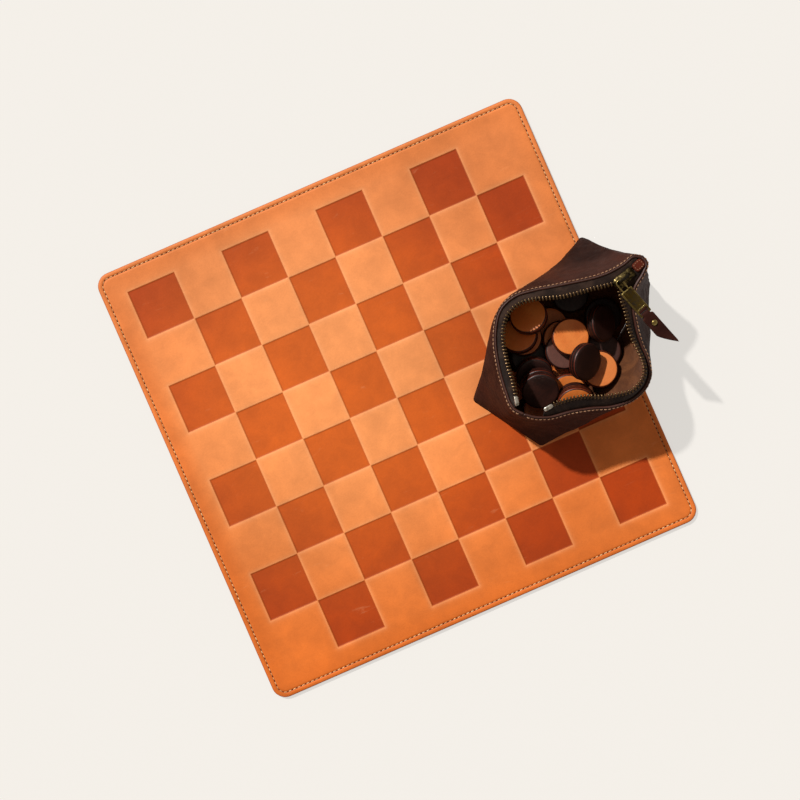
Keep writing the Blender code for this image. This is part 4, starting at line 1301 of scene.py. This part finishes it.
def brick(name, size, centre):
    half = [s / 2 for s in size]
    points = [
        (centre[0] + half[0] * i, centre[1] + half[1] * j, centre[2] + half[2] * k)
        for k in (-1, 1) for i, j in ((-1, -1), (1, -1), (1, 1), (-1, 1))
    ]
    faces = [(0, 3, 2, 1), (4, 5, 6, 7), (0, 1, 5, 4), (1, 2, 6, 5), (2, 3, 7, 6), (3, 0, 4, 7)]
    return solid(name, points, faces, [BRASS], None, None, None, False)


def build_pull():
    """The pull plate: a sunk field inside a raised rim, a slot for the strap and a wire eye."""
    arm = (EYE_WIDTH - EYE_WIRE) / 2
    middle = EYE_LENGTH + PLATE_LENGTH / 2
    outline = section(PLATE_LENGTH, PLATE_WIDTH, 1.0, 3)
    loops = [
        [(middle + x * s, y * (1 - (1 - s) * 2.2), z) for x, y in outline]
        for s, z in ((0.98, -0.9), (1.0, -0.62), (1.0, 0.62), (0.98, 0.9))
    ]
    plate = loft("plate", loops, [BRASS])
    field = PLATE_LENGTH - SLOT_LENGTH - END_BAR - 2 * PLATE_RIM
    sunk = section(field, PLATE_WIDTH - 2 * PLATE_RIM, 0.8, 3)
    levels = ((0.94, 0.35), (0.97, 0.45), (1.02, 1.3))
    sink = loft("sink", layers(sunk, levels, EYE_LENGTH + PLATE_RIM + field / 2), [BRASS])
    tail = EYE_LENGTH + PLATE_LENGTH - END_BAR
    slot = brick("slot", (SLOT_LENGTH, SLOT_WIDTH, 4.0), (tail - SLOT_LENGTH / 2, 0, 0))
    thin = [
        brick("thin", (END_BAR + 0.6, SLOT_WIDTH, 1.0), (tail + END_BAR / 2 + 0.3, 0, z))
        for z in (END_BAR / 2 + 0.5, -END_BAR / 2 - 0.5)
    ]
    cut_with(plate, sink, slot, *thin)
    worn_edges(plate, 0.14)
    bend = arm - 0.2
    path = [(EYE_LENGTH + 0.9, arm, 0), (6.0, arm, 0), (bend, arm, 0)]
    for k in range(1, 8):
        angle = math.radians(90 + 180 * k / 8)
        path.append((bend + bend * math.cos(angle), arm * math.sin(angle), 0))
    path += [(bend, -arm, 0), (6.0, -arm, 0), (EYE_LENGTH + 0.9, -arm, 0)]
    eye = loft("eye", sweep(path, section(1.2, 1.3, 0.4, 3)), [BRASS])
    mark_wear(eye)
    levels = ((0.5, -0.8), (0.95, -0.75), (1.0, -0.4), (1.0, 0.4), (0.95, 0.75), (0.5, 0.8))
    loops = layers(section(2.3, 7.7, 0.4, 3), levels, tail - 3.2)
    fold = loft("strap_fold", loops, [STRAP_LEATHER], pull_frame(), "pull")
    pull = joined("pull_tab", [plate, eye])
    pull.matrix_world = pull_frame()
    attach(pull, "pull")
    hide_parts("pull_plate")


def strap_frame():
    bar = EYE_LENGTH + PLATE_LENGTH - END_BAR / 2
    return pull_frame() @ Matrix.Translation((bar * MM, 0, 0)) @ Matrix.Rotation(STRAP_DROP, 4, "Y")


def strap_sides(x):
    """The strap's two sides at a distance down it: right, left."""
    edge = STRAP_WIDTH / 2
    neck = 3.5
    if x < 1.2:
        return -neck, neck
    if x < 3.2:
        t = (x - 1.2) / 2.0
        t = t * t * (3 - 2 * t)
        return -neck - (edge - neck) * t, neck + (edge - neck) * t
    share = x / STRAP_LENGTH
    left = edge - 0.15 - 0.25 * max(0.0, share - 0.5)
    right = -edge
    if share > 0.56:
        t = (share - 0.56) / 0.44
        right = -edge + (2 * edge - 1.0) * t ** 1.25
    if share > 0.94:
        left -= (share - 0.94) / 0.06 * 0.5
    return right, max(left, right + 0.35)


def build_strap():
    """The leather strap: folded round the plate's end bar, riveted, with a blade-shaped end."""
    turn = Matrix.Rotation(STRAP_YAW, 3, "Z")
    half = STRAP_THICK / 2
    xs = [-1.85, -1.75, -1.5, -1.0, -0.4, 0.4, 1.2, 1.7, 2.2, 2.7, 3.2, *np.linspace(4.0, STRAP_LENGTH, 42)]
    loops = []
    for x in xs:
        right, left = strap_sides(x)
        pinch = math.sqrt(max(0.02, 1 - (x / 1.9) ** 2)) if x < 0 else 1.0
        swell = 0.94 if 3 < x < STRAP_LENGTH - 3 else 1.0
        press = 1 - 0.14 * math.exp(-((x - RIVET_AT) / 3.2) ** 2)
        thick = half * pinch * swell * press
        width = left - right
        soft = min(0.5, width / 4)
        # Each side, as (distance in from it, share of the thickness): eased corners and a dip half way.
        rim = [(soft, 1.0), (0.12, 0.82), (0.0, 0.4), (0.18, 0.0), (0.0, -0.4), (0.12, -0.82), (soft, -1.0)]
        shape = [(left - into, thick * share) for into, share in rim]
        shape += [(left - width * share, -thick) for share in (0.3, 0.5, 0.7)]
        shape += [(right + into, -thick * share) for into, share in rim]
        shape += [(left - width * share, thick * puff) for share, puff in ((0.7, 1.0), (0.5, 1.02), (0.3, 1.0))]
        bend = 0.0022 * max(0.0, x - 14) ** 2
        twist = 0.05 * max(0.0, (x - 12) / 26)
        loop = []
        for y, z in shape:
            spot = Vector((x, y, z + bend + twist * y))
            loop.append((turn @ spot) if x > 1.2 else spot)
        loops.append(loop)
    side_slots = [0, 1, 1, 1, 1, 0, 0, 0, 0, 0]
    slots = side_slots * 2
    edge = raw_edge("strap_edge", (40, 18, 12), (96, 46, 30))
    strap = loft("pull_strap", loops, [STRAP_LEATHER, edge], strap_frame(), "strap", slots)
    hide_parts("leather_pull")
    face = half + 0.05
    profile = [
        (0, -face - 1.3), (1.1, -face - 1.25), (2.0, -face - 0.8), (2.45, -face - 0.3), (2.5, -face), (1.1, -face),
        (1.1, 0), (1.1, face), (2.5, face), (2.5, face + 0.25), (2.3, face + 0.65), (1.8, face + 1.05),
        (1.0, face + 1.35), (0.4, face + 1.42), (0, face + 1.43),
    ]
    at = turn @ Vector((RIVET_AT, 0, 0))
    rivet = lathe("rivet", profile, 28, [BRASS], strap_frame() @ Matrix.Translation(at * MM), "strap")
    give(rivet, "wear", [0.55] * len(rivet.data.vertices))
    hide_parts("pull_rivet")


def build_checkers(colour, places, material):
    half = CHECKER_THICK / 2
    radius = CHECKER_RADIUS
    upper = [
        (0, half - 0.02), (4, half - 0.02), (8, half - 0.01), (11.5, half), (13.4, half), (14.3, half - 0.06),
        (14.9, half - 0.22), (15.35, half - 0.55), (15.65, half - 0.95), (15.8, half - 1.5), (15.88, half - 2.3),
        (radius, half - 3.0), (radius - 0.03, 0.25),
    ]
    profile = upper + [(r, -z) for r, z in reversed(upper)]
    for number, (a, b, height, tilt, lean) in enumerate(places, 1):
        name = "%s_checker_%02d" % (colour, number)
        way = Matrix.Rotation(math.radians(lean), 4, "Z")
        turn = way @ Matrix.Rotation(math.radians(tilt), 4, "Y") @ way.inverted()
        place = POUCH @ Matrix.Translation(Vector((a, b, height)) * MM) @ turn
        made = lathe(name.replace("checker", "round"), profile, CHECKER_SPOKES, [material], place, name)
        offset = 0.37 * number + (5.0 if colour == "brown" else 0.0)
        give(made, "seed", [offset] * len(made.data.vertices))
        give(made, "pale", [PALENESS.get(made.name, 0.0)] * len(made.data.vertices))
        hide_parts(name)


# ---------------------------------------------------------------- light, floor and camera

def build_stage():
    s = Shader("studio_floor", Roughness=0.9, Specular_IOR_Level=0.1)
    s.set(Base_Color=s.mix(s.noise(3.0, 1.0), (0.25, 0.24, 0.225, 1.0), (0.255, 0.245, 0.23, 1.0)))
    s.set(Emission_Color=(1.0, 0.975, 0.93, 1.0), Emission_Strength=0.64)
    back = Shader("studio_backdrop", Roughness=0.9, Specular_IOR_Level=0.1)
    black, nearly = (0.004, 0.004, 0.004, 1.0), (0.006, 0.006, 0.006, 1.0)
    back.set(Base_Color=back.mix(back.noise(0.2, 1.0), black, nearly))
    back.set(Emission_Color=(1.0, 0.975, 0.93, 1.0), Emission_Strength=0.91)
    turns = [2 * math.pi * k / BACKDROP_SIDES for k in range(BACKDROP_SIDES)]
    rims = [
        (BACKDROP_FAR * math.cos(t), BACKDROP_FAR * math.sin(t), height)
        for height in (-0.02, BACKDROP_HIGH)
        for t in turns
    ]
    faces = [cap(0, BACKDROP_SIDES), *strips(2, BACKDROP_SIDES, True)]
    slots = [0] + [1] * BACKDROP_SIDES
    floor = solid("studio_floor", rims, faces, [s.material, back.material], slots, smooth=False)

    world = bpy.data.worlds.new("studio")
    bpy.context.scene.world = world
    world.use_nodes = True
    sky = world.node_tree.nodes["Background"]
    sky.inputs["Color"].default_value = (1.0, 0.84, 0.7, 1.0)
    sky.inputs["Strength"].default_value = 0.27

    key = bpy.data.lights.new("key", "SUN")
    key.energy = 3.5
    key.angle = math.radians(2.2)
    key.color = (1.0, 0.985, 0.96)
    lamp = bpy.data.objects.new("key", key)
    bpy.context.scene.collection.objects.link(lamp)
    level = math.cos(SUN_HIGH)
    travel = Vector((SUN_WAY[0] * level, SUN_WAY[1] * level, -math.sin(SUN_HIGH)))
    lamp.rotation_euler = travel.to_track_quat("-Z", "Y").to_euler()

    camera = bpy.data.cameras.new("camera")
    camera.lens = CAMERA_LENS
    camera.sensor_width = 36.0
    eye = bpy.data.objects.new("camera", camera)
    bpy.context.scene.collection.objects.link(eye)
    eye.location = CAMERA_AT
    eye.rotation_euler = (0.0, 0.0, CAMERA_TURN)
    bpy.context.scene.camera = eye
    bpy.context.scene.view_settings.view_transform = "Standard"


build_stage()
build_mat()
for side_sign, side_word in ((1, "left"), (-1, "right")):
    panel_rows = build_panel(side_sign, side_word)
    teeth_line = build_tape(side_sign, side_word, panel_rows)
    build_teeth(side_sign, side_word, teeth_line)
for seam_column, seam_word in ((0, "open"), (-1, "closed")):
    build_seam(panel_rows, seam_column, seam_word)
build_foot()
build_tab()
build_slider()
build_pull()
build_strap()
build_checkers("tan", TAN_PLACES, TAN)
build_checkers("brown", BROWN_PLACES, BROWN)
